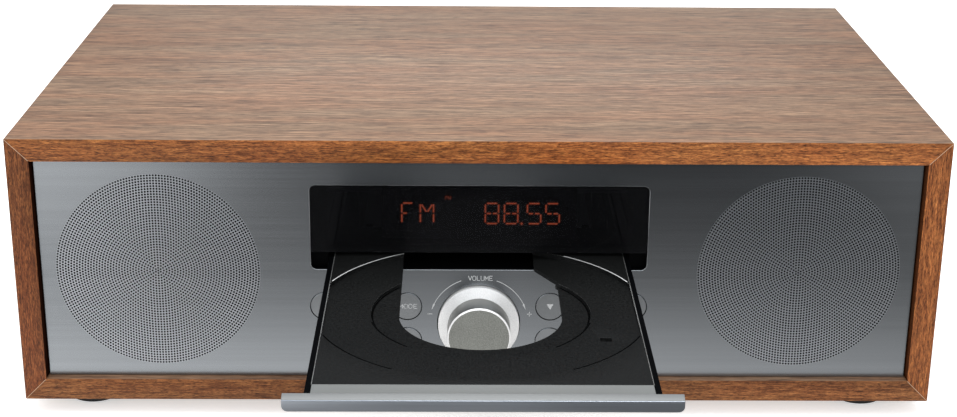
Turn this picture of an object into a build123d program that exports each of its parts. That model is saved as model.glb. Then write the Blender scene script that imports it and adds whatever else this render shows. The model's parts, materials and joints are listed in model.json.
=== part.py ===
from build123d import *
from math import atan2, cos, degrees, hypot, pi, radians, sin, sqrt
import os

# Mini hi-fi system: a walnut cabinet with a brushed aluminium front, two
# speakers, a display, ten flush buttons, a volume knob and a disc drawer.
#
# Millimetres. +X is to the right seen from the front, +Y runs to the back and
# +Z is up. The origin is on the surface the feet stand on, at the centre of
# the whole object with its drawer open. Inside this file a place is given as
# (x, depth, height): depth behind the cabinet's front edge, height above the
# cabinet's underside.

# ---------------------------------------------------------------- cabinet
cabinet_w = 360.0
cabinet_d = 221.4
cabinet_h = 108.5
board_t = 9.0
foot_h = 6.0
foot_r = 11.0
foot_x = 156.0
foot_inset = 20.0

# ---------------------------------------------------------------- front
plate_front = 3.4          # the faceplate is set back behind the cabinet edge
plate_t = 1.6
plate_gap = 0.8            # gap between faceplate and side boards
chassis_t = 3.5            # moulded front chassis behind the faceplate
window_half_w = 65.5
window_top = 89.4
window_bottom = 54.7
window_r = 2.4
slot_top = 61.8            # the drawer opening is the window's lowest band
speaker_x = 125.0
speaker_h = 54.0
speaker_screw_r = 35.7     # circle of the four screws of each speaker
cloth_r = 41.5
knob_h = 32.0
button_r = 5.65
button_columns = (28.1, 44.25, 60.4)
button_rows = (39.2, 24.4)  # the lower row leaves out the outer column
button_gap = 0.25
button_flange_r = 6.3
knob_hole_r = 16.4
speaker_hole_r = 33.0      # opening of the front chassis in front of each cone
window_flange_w = 68.3     # half width of the window's flange behind the faceplate
window_flange_top = 92.1
throat_depth = 23.5        # shelf of the front chassis under the drawer's opening
board_front = 13.0         # front circuit board
board_thickness = 1.6
board_top = 52.0

# ---------------------------------------------------------------- disc drawer
tray_reach = 121.4         # how far the open drawer stands in front of the cabinet
tray_travel = 124.8
tray_top = 60.3
tray_bottom = 55.6
tray_half_w = 58.3
rail_w = 2.2
rail_drop = 0.5            # the side rails lie a little below the tray's face
tray_rear = 36.0
disc_depth = -46.7         # centre of the disc recess, drawer open
disc_r = 60.4
disc_recess = 1.7
small_disc_r = 39.8
small_disc_recess = 2.9
rear_floor_bottom = 57.3   # the tray is thinner beside the rear of the cut-out
cut_half_w = 29.5          # the long cut-out that clears the spindle and pick-up
cut_front_centre = -47.9
cut_rear = 20.0
bar_half_w = 65.2
bar_bottom = 55.5
bar_edge = 59.8
bar_depth = 3.3
lip_depth = 7.2
lip_bottom = 57.0
slide_gap = 0.4

# ---------------------------------------------------------------- drawer drive
rack_module = 1.0
rack_root_x = -55.2
pinion_teeth = 10
pinion_depth = 30.0
drive_module = 0.8
drive_wheel_teeth = 24
drive_pinion_teeth = 12
tooth_share = 0.38         # tooth thickness at the pitch line over the pitch
belt_r = 0.7
pulley_r = 12.0
motor_pulley_r = 3.2
motor_x = -6.0
belt_wheel_h = 42.0        # underside of both belt wheels
post_r = 1.5               # posts that the wheels turn on
floor_bottom = 35.8        # cross floors of the loader frame
floor_top = 38.0

# ---------------------------------------------------------------- disc mechanism
spindle_depth = disc_depth + tray_travel
lift = 8.0
cam_ratio = 2.0            # cam travel over lift
lens_home = 24.0           # lens to spindle, carriage parked
screw_x = -38.0
screw_h = 38.0
screw_r = 1.2
traverse_h = 44.0          # underside of the traverse plate, lowered
traverse_t = 2.0
seat_h = 51.6              # the turntable's disc seat, lowered
loader_wall_x = 60.2
loader_wall_t = 3.0
loader_rear = 172.0
loader_top = 66.0
guide_x = 45.0             # upright guides of the traverse
guide_depths = (53.5, 157.0)
guide_r = 1.6
rod_xs = (-29.0, 31.0)     # guide rods of the pick-up
rod_r = 1.5
rod_drop = 2.6             # rods below the traverse plate's underside
cam_pin_xs = (-20.0, 20.0)
cam_pin_r = 1.2
cam_pin_drop = 1.2
running_fit = 0.06
rear_panel_depth = 205.0
rear_panel_t = 3.0

front_y = -(cabinet_d - tray_reach) / 2
inner_x = cabinet_w / 2 - board_t
inner_low = board_t
inner_high = cabinet_h - board_t
plate_back = plate_front + plate_t
chassis_back = plate_back + chassis_t


# ---------------------------------------------------------------- helpers
def along_y(sketch, d0, d1):
    """A sketch in (x, height), extruded from depth d0 back to depth d1."""
    plane = Plane(origin=(0, front_y + d1, foot_h), x_dir=(1, 0, 0), z_dir=(0, -1, 0))
    return extrude(plane * sketch, amount=d1 - d0)


def along_z(sketch, h0, h1):
    """A sketch in (x, depth), extruded from height h0 up to height h1."""
    return extrude(Plane(origin=(0, front_y, foot_h + h0)) * sketch, amount=h1 - h0)


def along_x(sketch, x0, x1):
    """A sketch in (depth, height), extruded from x0 to x1."""
    plane = Plane(origin=(x0, front_y, foot_h), x_dir=(0, 1, 0), z_dir=(1, 0, 0))
    return extrude(plane * sketch, amount=x1 - x0)


def rect(a0, a1, b0, b1):
    """Rectangle between two corners."""
    return Pos((a0 + a1) / 2, (b0 + b1) / 2) * Rectangle(a1 - a0, b1 - b0)


def rrect(a0, a1, b0, b1, radius):
    """Rectangle between two corners with rounded corners."""
    return Pos((a0 + a1) / 2, (b0 + b1) / 2) * RectangleRounded(a1 - a0, b1 - b0, radius)


def disc(a, b, radius):
    """Circle of a radius about (a, b)."""
    return Pos(a, b) * Circle(radius)


def block(x0, x1, d0, d1, h0, h1):
    """Rectangular block between two corners."""
    return along_z(rect(x0, x1, d0, d1), h0, h1)


def turned_y(profile, x, h):
    """Outline of (radius, depth) points turned about the front-to-back axis at (x, h)."""
    plane = Plane(origin=(x, front_y, foot_h + h), x_dir=(1, 0, 0), z_dir=(0, 0, 1))
    face = plane * make_face(Polyline(*profile, close=True))
    return revolve(face, axis=Axis((x, front_y, foot_h + h), (0, 1, 0)))


def turned_z(profile, x, d):
    """Outline of (radius, height) points turned about the upright axis at (x, d)."""
    plane = Plane(origin=(x, front_y + d, foot_h), x_dir=(1, 0, 0), z_dir=(0, -1, 0))
    face = plane * make_face(Polyline(*profile, close=True))
    return revolve(face, axis=Axis((x, front_y + d, foot_h), (0, 0, 1)))


def gear_outline(teeth, module, first_angle, addendum=0.8, dedendum=1.0):
    """Toothed outline about the origin, with the middle of one tooth at first_angle (radians)."""
    pitch_r = teeth * module / 2
    tip_r = pitch_r + addendum * module
    root_r = pitch_r - dedendum * module
    half = pi * tooth_share / teeth
    taper = 0.32 * module / pitch_r
    points = []
    for tooth in range(teeth):
        middle = first_angle + 2 * pi * tooth / teeth
        for radius, offset in (
            (root_r, -half - taper),
            (tip_r, -half + taper),
            (tip_r, half - taper),
            (root_r, half + taper),
        ):
            points.append((radius * cos(middle + offset), radius * sin(middle + offset)))
    return make_face(Polyline(*points, close=True))


def both(make):
    """A left and a right copy of a piece made by make(side)."""
    return make(-1) + make(1)


def save(name, piece):
    """Write one node's solids to parts/NAME.step."""
    os.makedirs("parts", exist_ok=True)
    solids = piece.solids()
    shape = solids[0] if len(solids) == 1 else Compound(children=list(solids))
    export_step(shape, f"parts/{name}.step")


# ---------------------------------------------------------------- cabinet
def mitred_board(side_angle, half_length, half_reach):
    """One board of the cabinet's frame, with ends cut at 45 degrees, turned about the middle."""
    outer = half_reach
    inner = half_reach - board_t
    outline = make_face(Polyline(
        (-half_length, outer),
        (half_length, outer),
        (half_length - board_t, inner),
        (-half_length + board_t, inner),
        close=True,
    ))
    return along_y(Pos(0, cabinet_h / 2) * Rot(0, 0, side_angle) * outline, 0, cabinet_d)


def cabinet():
    save("cabinet_top", mitred_board(0, cabinet_w / 2, cabinet_h / 2))
    save("cabinet_bottom", mitred_board(180, cabinet_w / 2, cabinet_h / 2))
    save("cabinet_left", mitred_board(90, cabinet_h / 2, cabinet_w / 2))
    save("cabinet_right", mitred_board(-90, cabinet_h / 2, cabinet_w / 2))


def feet():
    """Four round rubber feet with a chamfered lower edge."""
    chamfer = 0.8
    profile = (
        (0, -foot_h),
        (foot_r - chamfer, -foot_h),
        (foot_r, -foot_h + chamfer),
        (foot_r, 0),
        (0, 0),
    )
    group = [
        turned_z(profile, x, d)
        for x in (-foot_x, foot_x)
        for d in (foot_inset, cabinet_d - foot_inset)
    ]
    save("feet", Compound(children=group))


# ---------------------------------------------------------------- front
def button_places():
    """Column and row of each button, left to right, top row first."""
    places = []
    for h, columns in zip(button_rows, (button_columns, button_columns[:2])):
        places += [(-x, h) for x in reversed(columns)] + [(x, h) for x in columns]
    return places


def holes(radius, places):
    """Circles of one radius at each of the places."""
    return [disc(x, h, radius) for x, h in places]


def faceplate():
    """Aluminium sheet with the window, knob hole and button holes."""
    plate_x = inner_x - plate_gap
    sheet = rect(-plate_x, plate_x, inner_low + 0.3, inner_high - 0.2)
    sheet -= rrect(-window_half_w, window_half_w, window_bottom, window_top, window_r)
    sheet -= disc(0, knob_h, knob_hole_r)
    sheet -= holes(button_r + button_gap, button_places())
    save("faceplate", along_y(sheet, plate_front, plate_back))


def front_chassis():
    """Moulding behind the faceplate that carries speakers, display and boards."""
    rim_wall = 2.5
    rim_depth = 18.0
    edge_x = inner_x - 0.3
    low = inner_low + 0.1
    high = inner_high - 0.1
    sheet = rect(-edge_x, edge_x, low, high)
    sheet -= holes(speaker_hole_r, ((-speaker_x, speaker_h), (speaker_x, speaker_h)))
    sheet -= holes(button_flange_r + 0.4, button_places())
    sheet -= disc(0, knob_h, knob_hole_r + 1.2)
    sheet -= rect(-window_half_w, window_half_w, window_bottom - 0.3, slot_top - 0.1)
    sheet -= rect(-60, 60, slot_top + 2.2, window_top - 1.4)
    body = along_y(sheet, plate_back, chassis_back)
    flange_x = window_flange_w + 0.3
    flange = rect(-flange_x, flange_x, slot_top - 0.1, window_flange_top + 0.3)
    body -= along_y(flange, plate_back, plate_back + 1.7)
    for side in (-1, 1):
        body -= along_y(disc(side * speaker_x, speaker_h, cloth_r + 0.2), plate_back, plate_back + 0.5)
    rim = rect(-edge_x, edge_x, low, high)
    rim -= rect(-edge_x + rim_wall, edge_x - rim_wall, low + rim_wall, high - rim_wall)
    body += along_y(rim, chassis_back, rim_depth)
    for x in (-64.5, 0, 64.5):
        for h in (14.6, 49.0):
            body += along_y(disc(x, h, 2.4), chassis_back, board_front)

    # The drawer's opening has a floor behind it, and cheeks beside the tray.
    throat_top = window_bottom - 0.3
    body += block(-56.5, 56.5, plate_back, throat_depth, board_top + 1.0, throat_top)
    cheek_inner = tray_half_w + 0.7
    cheek_front = plate_front + bar_depth + 1.4
    for side in (-1, 1):
        near, far = sorted((side * cheek_inner, side * (window_half_w + 1.0)))
        body += block(near, far, cheek_front, cheek_front + 1.0, board_top + 1.0, slot_top + 0.1)
    save("front_chassis", body)


def display():
    """Smoked window with a flange behind the faceplate, and the display behind it."""
    front = rrect(-window_half_w + 0.25, window_half_w - 0.25, slot_top - 4, window_top - 0.25, 2.1)
    front -= rect(-window_half_w, window_half_w, slot_top - 5, slot_top)
    window = along_y(front, plate_front + 0.3, plate_back)
    flange = rect(-window_flange_w, window_flange_w, slot_top, window_flange_top)
    window += along_y(flange, plate_back, plate_back + 1.6)
    save("display_window", window)
    case_front = chassis_back + 0.5
    case_back = 14.0
    module = along_y(rrect(-38, 38, 66, 86.5, 1.0), case_front, case_back)
    module -= along_y(rect(-35, 35, 69, 83.5), case_front, case_front + 0.4)
    for x in (-30, 30):
        module += along_y(disc(x, 70.5, 1.5), case_back, case_back + 3.0)
    save("display_module", module)


def front_board():
    """Circuit board with one push switch behind each button."""
    board_back = board_front + board_thickness
    switch_front = board_front - 1.6
    board = along_y(rect(-68, 68, 11.8, board_top), board_front, board_back)
    for x, h in button_places():
        board += along_y(rect(x - 3, x + 3, h - 3, h + 3), switch_front, board_front)
        board += along_y(disc(x, h, 1.6), switch_front - 0.4, switch_front)
    board += along_y(rect(-20, 20, 44.5, 50.5), board_back, board_back + 5.4)
    save("front_board", board)


def button(x, h):
    """Flush round button: cap, retaining flange and the stem that reaches its switch."""
    chamfer = 0.2
    flange_front = plate_back + 0.4
    flange_back = flange_front + 1.0
    stem_r = 1.5
    stem_back = 10.2
    profile = (
        (0, plate_front),
        (button_r - chamfer, plate_front),
        (button_r, plate_front + chamfer),
        (button_r, flange_front),
        (button_flange_r, flange_front),
        (button_flange_r, flange_back),
        (stem_r, flange_back),
        (stem_r, stem_back),
        (0, stem_back),
    )
    return turned_y(profile, x, h)


def buttons():
    names = (
        "power", "source", "mode", "down", "up", "play",
        "previous", "next", "stop", "eject",
    )
    for name, (x, h) in zip(names, button_places()):
        save(f"button_{name}", button(x, h))


def volume_control():
    """Turned knob with a flared skirt, on the shaft of a rotary encoder."""
    face = -11.0
    body_r = 12.3
    skirt_r = 16.0
    back = 6.4
    wall = 1.4
    shaft_r = 2.9
    shaft_front = -9.3
    outline = (
        (shaft_r + 0.05, shaft_front - 0.1),
        (0, shaft_front - 0.1),
        (0, face),
        (body_r - 0.7, face),
        (body_r, face + 0.7),
        (body_r, -0.6),
        (skirt_r, 1.4),
        (skirt_r, back),
        (skirt_r - wall, back),
        (skirt_r - wall, 2.6),
        (body_r - wall, 0.6),
        (body_r - wall, face + 2.4),
        (5.4, face + 2.4),
        (5.4, back),
        (shaft_r + 0.05, back),
    )
    save("volume_knob", turned_y(outline, 0, knob_h))
    shaft_back = 12.4
    save("encoder_shaft", along_y(disc(0, knob_h, shaft_r), shaft_front, shaft_back))
    case_front = 10.0
    case = along_y(rect(-6.5, 6.5, knob_h - 6.5, knob_h + 6.5), case_front, board_front)
    case += along_y(disc(0, knob_h, 4.6), case_front - 2.4, case_front)
    case -= along_y(disc(0, knob_h, shaft_r + 0.08), case_front - 2.4, shaft_back + 0.2)
    save("encoder_body", case)


# ---------------------------------------------------------------- speakers
def speaker(side, name):
    x = side * speaker_x
    basket = turned_y((
        (30.6, chassis_back),
        (38.5, chassis_back),
        (38.5, 10.0),
        (32.2, 10.0),
        (32.2, 14.6),
        (22.5, 31.5),
        (12.0, 31.5),
        (12.0, 30.0),
        (21.4, 30.0),
        (30.6, 14.0),
    ), x, speaker_h)
    for turn in range(4):
        angle = 45 + 90 * turn
        place = Pos(x, speaker_h) * Rot(0, 0, angle) * Pos(28, 0)
        basket -= along_y(place * Rectangle(13, 20), 15.5, 28.0)
    for turn in range(4):
        angle = radians(45 + 90 * turn)
        hole = disc(x + speaker_screw_r * cos(angle), speaker_h + speaker_screw_r * sin(angle), 1.7)
        basket -= along_y(hole, chassis_back, 10.0)
    save(f"speaker_basket_{name}", basket)

    magnet = turned_y((
        (11.4, 31.5),
        (24.0, 31.5),
        (24.0, 35.0),
        (28.0, 35.0),
        (28.0, 46.0),
        (24.0, 46.0),
        (24.0, 50.0),
        (0, 50.0),
        (0, 31.5),
        (9.2, 31.5),
        (9.2, 46.0),
        (14.0, 46.0),
        (14.0, 35.0),
        (11.4, 35.0),
    ), x, speaker_h)
    save(f"speaker_magnet_{name}", magnet)

    # Paper cone with its dust cap, and the voice coil's former running back into the gap.
    cone = turned_y((
        (0, 19.4),
        (6.0, 20.2),
        (10.4, 22.6),
        (25.6, 11.4),
        (26.4, 11.4),
        (26.4, 12.3),
        (10.8, 25.2),
        (10.8, 41.0),
        (10.0, 41.0),
        (10.0, 24.2),
        (5.6, 21.2),
        (0, 20.4),
    ), x, speaker_h)
    save(f"speaker_cone_{name}", cone)

    # Half-roll surround, from the cone's edge out to the basket's rim.
    rows = 6
    roll_r = 28.4
    angles = [pi * i / rows for i in range(rows + 1)]
    front = [(roll_r - 1.8 * cos(a), 11.4 - 1.8 * sin(a)) for a in angles]
    back = [(roll_r + 1.2 * cos(a), 11.5 - 1.2 * sin(a)) for a in angles]
    surround = turned_y(tuple(front + back), x, speaker_h)
    save(f"speaker_surround_{name}", surround)


def speakers():
    def cloth(side):
        return along_y(disc(side * speaker_x, speaker_h, cloth_r), plate_back, plate_back + 0.4)

    save("grille_cloths", both(cloth))
    speaker(-1, "left")
    speaker(1, "right")


# ---------------------------------------------------------------- disc drawer
def tray_cut_out():
    """Outline of the long cut-out, round at its front, with the step on its right side."""
    shoulder = (cut_half_w, -19.3)
    notch = (21.2, -4.5)
    outline = [
        (-cut_half_w, cut_front_centre),
        (-cut_half_w, cut_rear),
        (notch[0], cut_rear),
        notch,
        shoulder,
        (cut_half_w, cut_front_centre),
    ]
    straight = make_face(Polyline(*outline, close=True))
    return straight + disc(0, cut_front_centre, cut_half_w)


def rack_teeth():
    """Sketch of the rack's teeth, standing in from the channel's outer wall."""
    pitch = pi * rack_module
    tip = rack_root_x + 1.8 * rack_module
    half_root = tooth_share * pitch / 2 + 0.32 * rack_module
    half_tip = tooth_share * pitch / 2 - 0.32 * rack_module
    teeth = []
    for index in range(-42, 2):
        middle = pinion_depth + (index + 0.5) * pitch
        teeth.append(make_face(Polyline(
            (rack_root_x - 0.3, middle - half_root),
            (tip, middle - half_tip),
            (tip, middle + half_tip),
            (rack_root_x - 0.3, middle + half_root),
            close=True,
        )))
    return teeth


def disc_tray():
    """Sliding tray with the two disc recesses, the cut-out and the rack beneath."""
    front = -tray_reach + bar_depth
    lip_back = front + lip_depth
    inner = tray_half_w - rail_w
    channel_front = -104.0
    channel_top = 57.9
    slab = along_z(rect(-inner, inner, lip_back, tray_rear), tray_bottom, tray_top)
    slab += along_z(rect(-inner, inner, front, lip_back), tray_bottom, lip_bottom)
    for side in (-1, 1):
        outer_edge = side * tray_half_w
        inner_edge = side * inner
        low, high = min(outer_edge, inner_edge), max(outer_edge, inner_edge)
        slab += block(low, high, front, tray_rear, tray_bottom, tray_top - rail_drop)
    within = rect(-inner, inner, lip_back, tray_rear)
    slab -= along_z(within & disc(0, disc_depth, disc_r), tray_top - disc_recess, tray_top + 1)
    slab -= along_z(disc(0, disc_depth, small_disc_r), tray_top - small_disc_recess, tray_top + 1)
    slab -= along_z(tray_cut_out(), tray_bottom - 1, tray_top + 1)
    slab -= along_z(rect(41.5, 45.6, -72.7, -69.6), tray_bottom - 1, tray_top + 1)
    relief = rect(14, 40, -30, tray_rear + 1) - disc(0, disc_depth, small_disc_r + 0.9)
    slab -= along_z(relief, tray_bottom - 1, rear_floor_bottom)
    slab -= block(rack_root_x, -43.2, channel_front, tray_rear + 1, tray_bottom - 1, channel_top)
    rack = along_z(Sketch() + rack_teeth(), tray_bottom, channel_top)
    slab += rack & block(rack_root_x - 0.2, -50, channel_front, tray_rear, tray_bottom, channel_top)
    save("disc_tray", slab)


def tray_bar():
    """Aluminium front of the drawer: a bar with a sloped top and the lip behind it."""
    front = -tray_reach
    back = front + bar_depth
    profile = make_face(Polyline(
        (front, bar_bottom),
        (back, bar_bottom),
        (back, tray_top + 0.3),
        (front + 0.35, bar_edge),
        (front, bar_edge - 0.35),
        close=True,
    ))
    bar = along_x(profile, -bar_half_w, bar_half_w)
    corner = 2.0
    for side in (-1, 1):
        edge = bar.edges().filter_by(Axis.Y).sort_by(Axis.Z)[:2].sort_by(Axis.X)
        bar = fillet(edge[0 if side < 0 else -1], corner)
    lip_half = tray_half_w - rail_w
    bar += block(-lip_half, lip_half, back, back + lip_depth, lip_bottom, tray_top)
    save("tray_bar", bar)


# ---------------------------------------------------------------- drawer drive
def grooved_wheel(radius, bore_r, x):
    """Belt wheel with a groove round its middle, and its hub above it."""
    low = belt_wheel_h
    return turned_z((
        (bore_r, low),
        (radius, low),
        (radius, low + 0.9),
        (radius - belt_r, low + 1.4),
        (radius - belt_r, low + 2.4),
        (radius, low + 3.0),
        (radius, low + 4.0),
        (bore_r, low + 4.0),
    ), x, pinion_depth)


def toothed_wheel(teeth, module, first_angle, x, h0, h1):
    """Gear about the upright axis at x, with one tooth at first_angle (radians)."""
    return along_z(Pos(x, pinion_depth) * gear_outline(teeth, module, first_angle), h0, h1)


def drawer_drive():
    """Pinion and wheel, pulley wheel, belt and motor that move the tray."""
    pinion_x = rack_root_x + rack_module + pinion_teeth * rack_module / 2
    mesh = (drive_wheel_teeth + drive_pinion_teeth) * drive_module / 2
    pulley_x = pinion_x + mesh
    bore_r = post_r + 0.05

    # The pinion's tooth points at the rack; a wheel tooth points at the pulley's pinion.
    gear = toothed_wheel(pinion_teeth, rack_module, pi, pinion_x, 55.9, 57.6)
    gear += along_z(disc(pinion_x, pinion_depth, 3.4), 50.0, 55.9)
    gear += toothed_wheel(drive_wheel_teeth, drive_module, 0, pinion_x, 47.0, 50.0)
    gear -= along_z(disc(pinion_x, pinion_depth, bore_r), 47.0, 56.9)
    save("loading_gear", gear)

    half_tooth = pi / drive_pinion_teeth
    wheel = toothed_wheel(drive_pinion_teeth, drive_module, pi + half_tooth, pulley_x, 46.6, 50.4)
    wheel += grooved_wheel(pulley_r, bore_r, pulley_x)
    wheel += along_z(disc(pulley_x, pinion_depth, 3.6), 46.0, 46.6)
    wheel -= along_z(disc(pulley_x, pinion_depth, bore_r), 41.0, 51.0)
    save("pulley_gear", wheel)

    shaft_r = 0.95
    small = grooved_wheel(motor_pulley_r, shaft_r, motor_x)
    small += along_z(disc(motor_x, pinion_depth, shaft_r), 37.0, 46.0)
    save("motor_pulley", small)

    # The belt runs round both pulleys on its two outer tangents.
    reach = motor_x - pulley_x
    big = pulley_r - belt_r + 0.3
    little = motor_pulley_r - belt_r + 0.3
    lean = (big - little) / reach
    rise = sqrt(1 - lean * lean)

    def belt_outline(grow):
        tangents = []
        for x, radius, side in (
            (pulley_x, big, 1),
            (motor_x, little, 1),
            (motor_x, little, -1),
            (pulley_x, big, -1),
        ):
            out = radius + grow
            tangents.append((x + out * lean, pinion_depth + side * out * rise))
        outline = make_face(Polyline(*tangents, close=True))
        outline += disc(pulley_x, pinion_depth, big + grow)
        return outline + disc(motor_x, pinion_depth, little + grow)

    belt_low = belt_wheel_h + 1.5
    belt = along_z(belt_outline(belt_r) - belt_outline(0), belt_low, belt_low + 0.8)
    save("drive_belt", belt)

    motor = along_z(disc(motor_x, pinion_depth, 9.0), 24.0, floor_bottom)
    motor += along_z(disc(motor_x, pinion_depth, 3.0), floor_bottom, 37.6)
    motor -= along_z(disc(motor_x, pinion_depth, shaft_r + 0.05), 36.6, 37.7)
    save("loading_motor", motor)
    return pinion_x, pulley_x


def loader_frame(pinion_x, pulley_x):
    """Moulded frame that guides the tray and carries the drive and the disc mechanism."""
    wall_out = loader_wall_x + loader_wall_t
    front = 9.2
    lower_front = 22.0
    rail_x = 57.0
    rail_h = tray_bottom - slide_gap
    leg_depth = 10.0
    pieces = []
    for side in (-1, 1):
        low, high = sorted((side * loader_wall_x, side * wall_out))
        pieces.append(block(low, high, front, loader_rear, 52.8, loader_top))
        pieces.append(block(low, high, lower_front, loader_rear, 32.0, 53.0))
        low, high = sorted((side * rail_x, side * (loader_wall_x + 0.1)))
        pieces.append(block(low, high, front, loader_rear, 52.8, rail_h))
        pieces.append(block(low, high, front, loader_rear, tray_top + slide_gap, 63.0))
        low, high = sorted((side * (loader_wall_x - 4), side * wall_out))
        for d in (24.0, 158.0):
            pieces.append(block(low, high, d, d + leg_depth, inner_low, 33.0))
    span = loader_wall_x + 1
    pieces.append(block(-span, span, 20.0, 56.0, floor_bottom, floor_top))
    pieces.append(block(-span, span, 152.0, loader_rear, floor_bottom, floor_top))
    for x, shoulder, top in ((pinion_x, 46.6, 56.5), (pulley_x, 41.6, 51.0)):
        pieces.append(along_z(disc(x, pinion_depth, post_r), floor_top, top))
        pieces.append(along_z(disc(x, pinion_depth, post_r + 0.5), floor_top, shoulder))
    for x in (-guide_x, guide_x):
        for d in guide_depths:
            pieces.append(along_z(disc(x, d, guide_r), floor_top, 54.6))
    frame = pieces[0]
    for piece in pieces[1:]:
        frame += piece
    frame -= along_z(disc(motor_x, pinion_depth, 3.3), 35.0, 39.0)
    save("loader_frame", frame)


# ---------------------------------------------------------------- disc mechanism
def traverse():
    """Plate that lifts the spindle and pick-up, with its cam pins and bearing lugs."""
    plate = rect(-49, 49, 50.8, 161)
    plate -= rect(-25, 27, 89, 150)
    plate -= disc(0, spindle_depth, 5.0)
    for x in (-guide_x, guide_x):
        for d in guide_depths:
            plate -= disc(x, d, guide_r + 0.3)
    body = along_z(plate, traverse_h, traverse_h + traverse_t)
    pin_h = traverse_h - cam_pin_drop
    for x in cam_pin_xs:
        body += along_y(disc(x, pin_h, cam_pin_r), 46.6, 52.0)
        body += block(x - 2, x + 2, 50.8, 54.0, traverse_h - 2.4, traverse_h + 0.5)
    rod_h = traverse_h - rod_drop
    lug_depths = (88.0, 151.0)
    for x in rod_xs:
        for d in lug_depths:
            body += block(x - 3.5, x + 3.5, d, d + 3, traverse_h - 5.0, traverse_h + 0.5)
            body -= along_y(disc(x, rod_h, rod_r), d, d + 3)
    body += block(screw_x - 3, screw_x + 3, 149.0, 151.5, screw_h - 2.5, traverse_h + 0.5)
    body -= along_y(disc(screw_x, screw_h, screw_r + running_fit), 148.0, 152.0)
    save("traverse_chassis", body)

    # The cam slides sideways: its sloped slots carry the traverse's pins up.
    stroke = cam_ratio * lift
    slope = degrees(atan2(lift, stroke))
    cam = along_y(rect(-38, 40, floor_top + 0.3, 54.5), 47.2, 49.8)
    slot_w = 2 * cam_pin_r + 0.8
    for x in cam_pin_xs:
        place = Pos(x - stroke / 2, pin_h + lift / 2) * Rot(0, 0, -slope)
        cam -= along_y(place * SlotCenterToCenter(hypot(stroke, lift) + 0.8, slot_w), 47.0, 50.0)
    save("cam_slider", cam)

    rods = [along_y(disc(x, rod_h, rod_r), lug_depths[0], lug_depths[1] + 3) for x in rod_xs]
    save("guide_rods", Compound(children=rods))

    # The pick-up: a carriage on both rods, with a nut on the feed screw and the lens turret on top.
    lens = spindle_depth + lens_home
    sled = block(-24, 26, lens - 10, lens + 12, traverse_h - 2.0, traverse_h + 2.4)
    for x in rod_xs:
        near, far = sorted((x, x * 0.6))
        sled += block(x - 3.4, x + 3.4, lens - 8, lens + 8, traverse_h - 5.2, traverse_h - 0.4)
        sled += block(near, far, lens - 8, lens + 8, traverse_h - 1.8, traverse_h - 0.4)
    sled += block(screw_x - 2.6, rod_xs[0], lens - 4, lens + 4, screw_h - 2.4, traverse_h - 3.5)
    for x in rod_xs:
        sled -= along_y(disc(x, rod_h, rod_r + running_fit), lens - 14, lens + 16)
    sled -= along_y(disc(screw_x, screw_h, screw_r + running_fit), lens - 14, lens + 16)
    sled += along_z(rrect(-9, 9, lens - 7, lens + 7, 2.0), traverse_h + 2.4, traverse_h + 5.0)
    sled += turned_z((
        (0, traverse_h + 4.8),
        (3.4, traverse_h + 4.8),
        (3.4, traverse_h + 5.8),
        (2.4, traverse_h + 6.3),
        (0, traverse_h + 6.5),
    ), 0, lens)
    save("optical_pickup", sled)

    motor = along_y(disc(screw_x, screw_h, 5.6), 62.0, 82.0)
    motor += along_y(disc(screw_x, screw_h, 2.4), 82.0, 83.5)
    motor -= along_y(disc(screw_x, screw_h, screw_r + running_fit), 80.0, 84.0)
    motor += block(screw_x - 3, screw_x + 3, 64.0, 80.0, screw_h + 4.0, traverse_h)
    save("feed_motor", motor)
    save("feed_screw", along_y(disc(screw_x, screw_h, screw_r), 80.5, 151.0))

    spindle_shaft_r = 1.0
    motor = along_z(disc(0, spindle_depth, 10.5), traverse_h - 11.0, traverse_h)
    motor += along_z(disc(0, spindle_depth, 4.6), traverse_h, traverse_h + 1.6)
    motor -= along_z(disc(0, spindle_depth, spindle_shaft_r + 0.05), traverse_h - 6.0, traverse_h + 2.0)
    save("spindle_motor", motor)

    table = turned_z((
        (0, seat_h - 12.0),
        (spindle_shaft_r, seat_h - 12.0),
        (spindle_shaft_r, seat_h - 4.0),
        (6.0, seat_h - 4.0),
        (7.0, seat_h - 2.4),
        (15.0, seat_h - 2.4),
        (15.0, seat_h),
        (7.4, seat_h),
        (7.4, seat_h + 1.4),
        (5.6, seat_h + 3.0),
        (0, seat_h + 3.0),
    ), 0, spindle_depth)
    save("turntable", table)


def clamp():
    """Sheet bridge over the drawer and the disc clamper that hangs in it."""
    out = loader_wall_x + loader_wall_t
    bridge_t = 1.2
    bridge = rect(-out, out, spindle_depth - 15, spindle_depth + 15)
    bridge -= disc(0, spindle_depth, 9.0)
    save("clamper_bridge", along_z(bridge, loader_top, loader_top + bridge_t))
    plate_r = 15.0
    neck_r = 8.2
    hat_r = 11.5
    hat_h = loader_top + bridge_t + 0.8
    clamper = turned_z((
        (neck_r + 0.2, 62.2),
        (plate_r, 62.2),
        (plate_r, 63.8),
        (neck_r, 65.2),
        (neck_r, hat_h),
        (hat_r, hat_h),
        (hat_r, hat_h + bridge_t),
        (0, hat_h + bridge_t),
        (0, 64.2),
        (neck_r + 0.2, 64.2),
    ), 0, spindle_depth)
    save("clamper", clamper)


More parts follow.
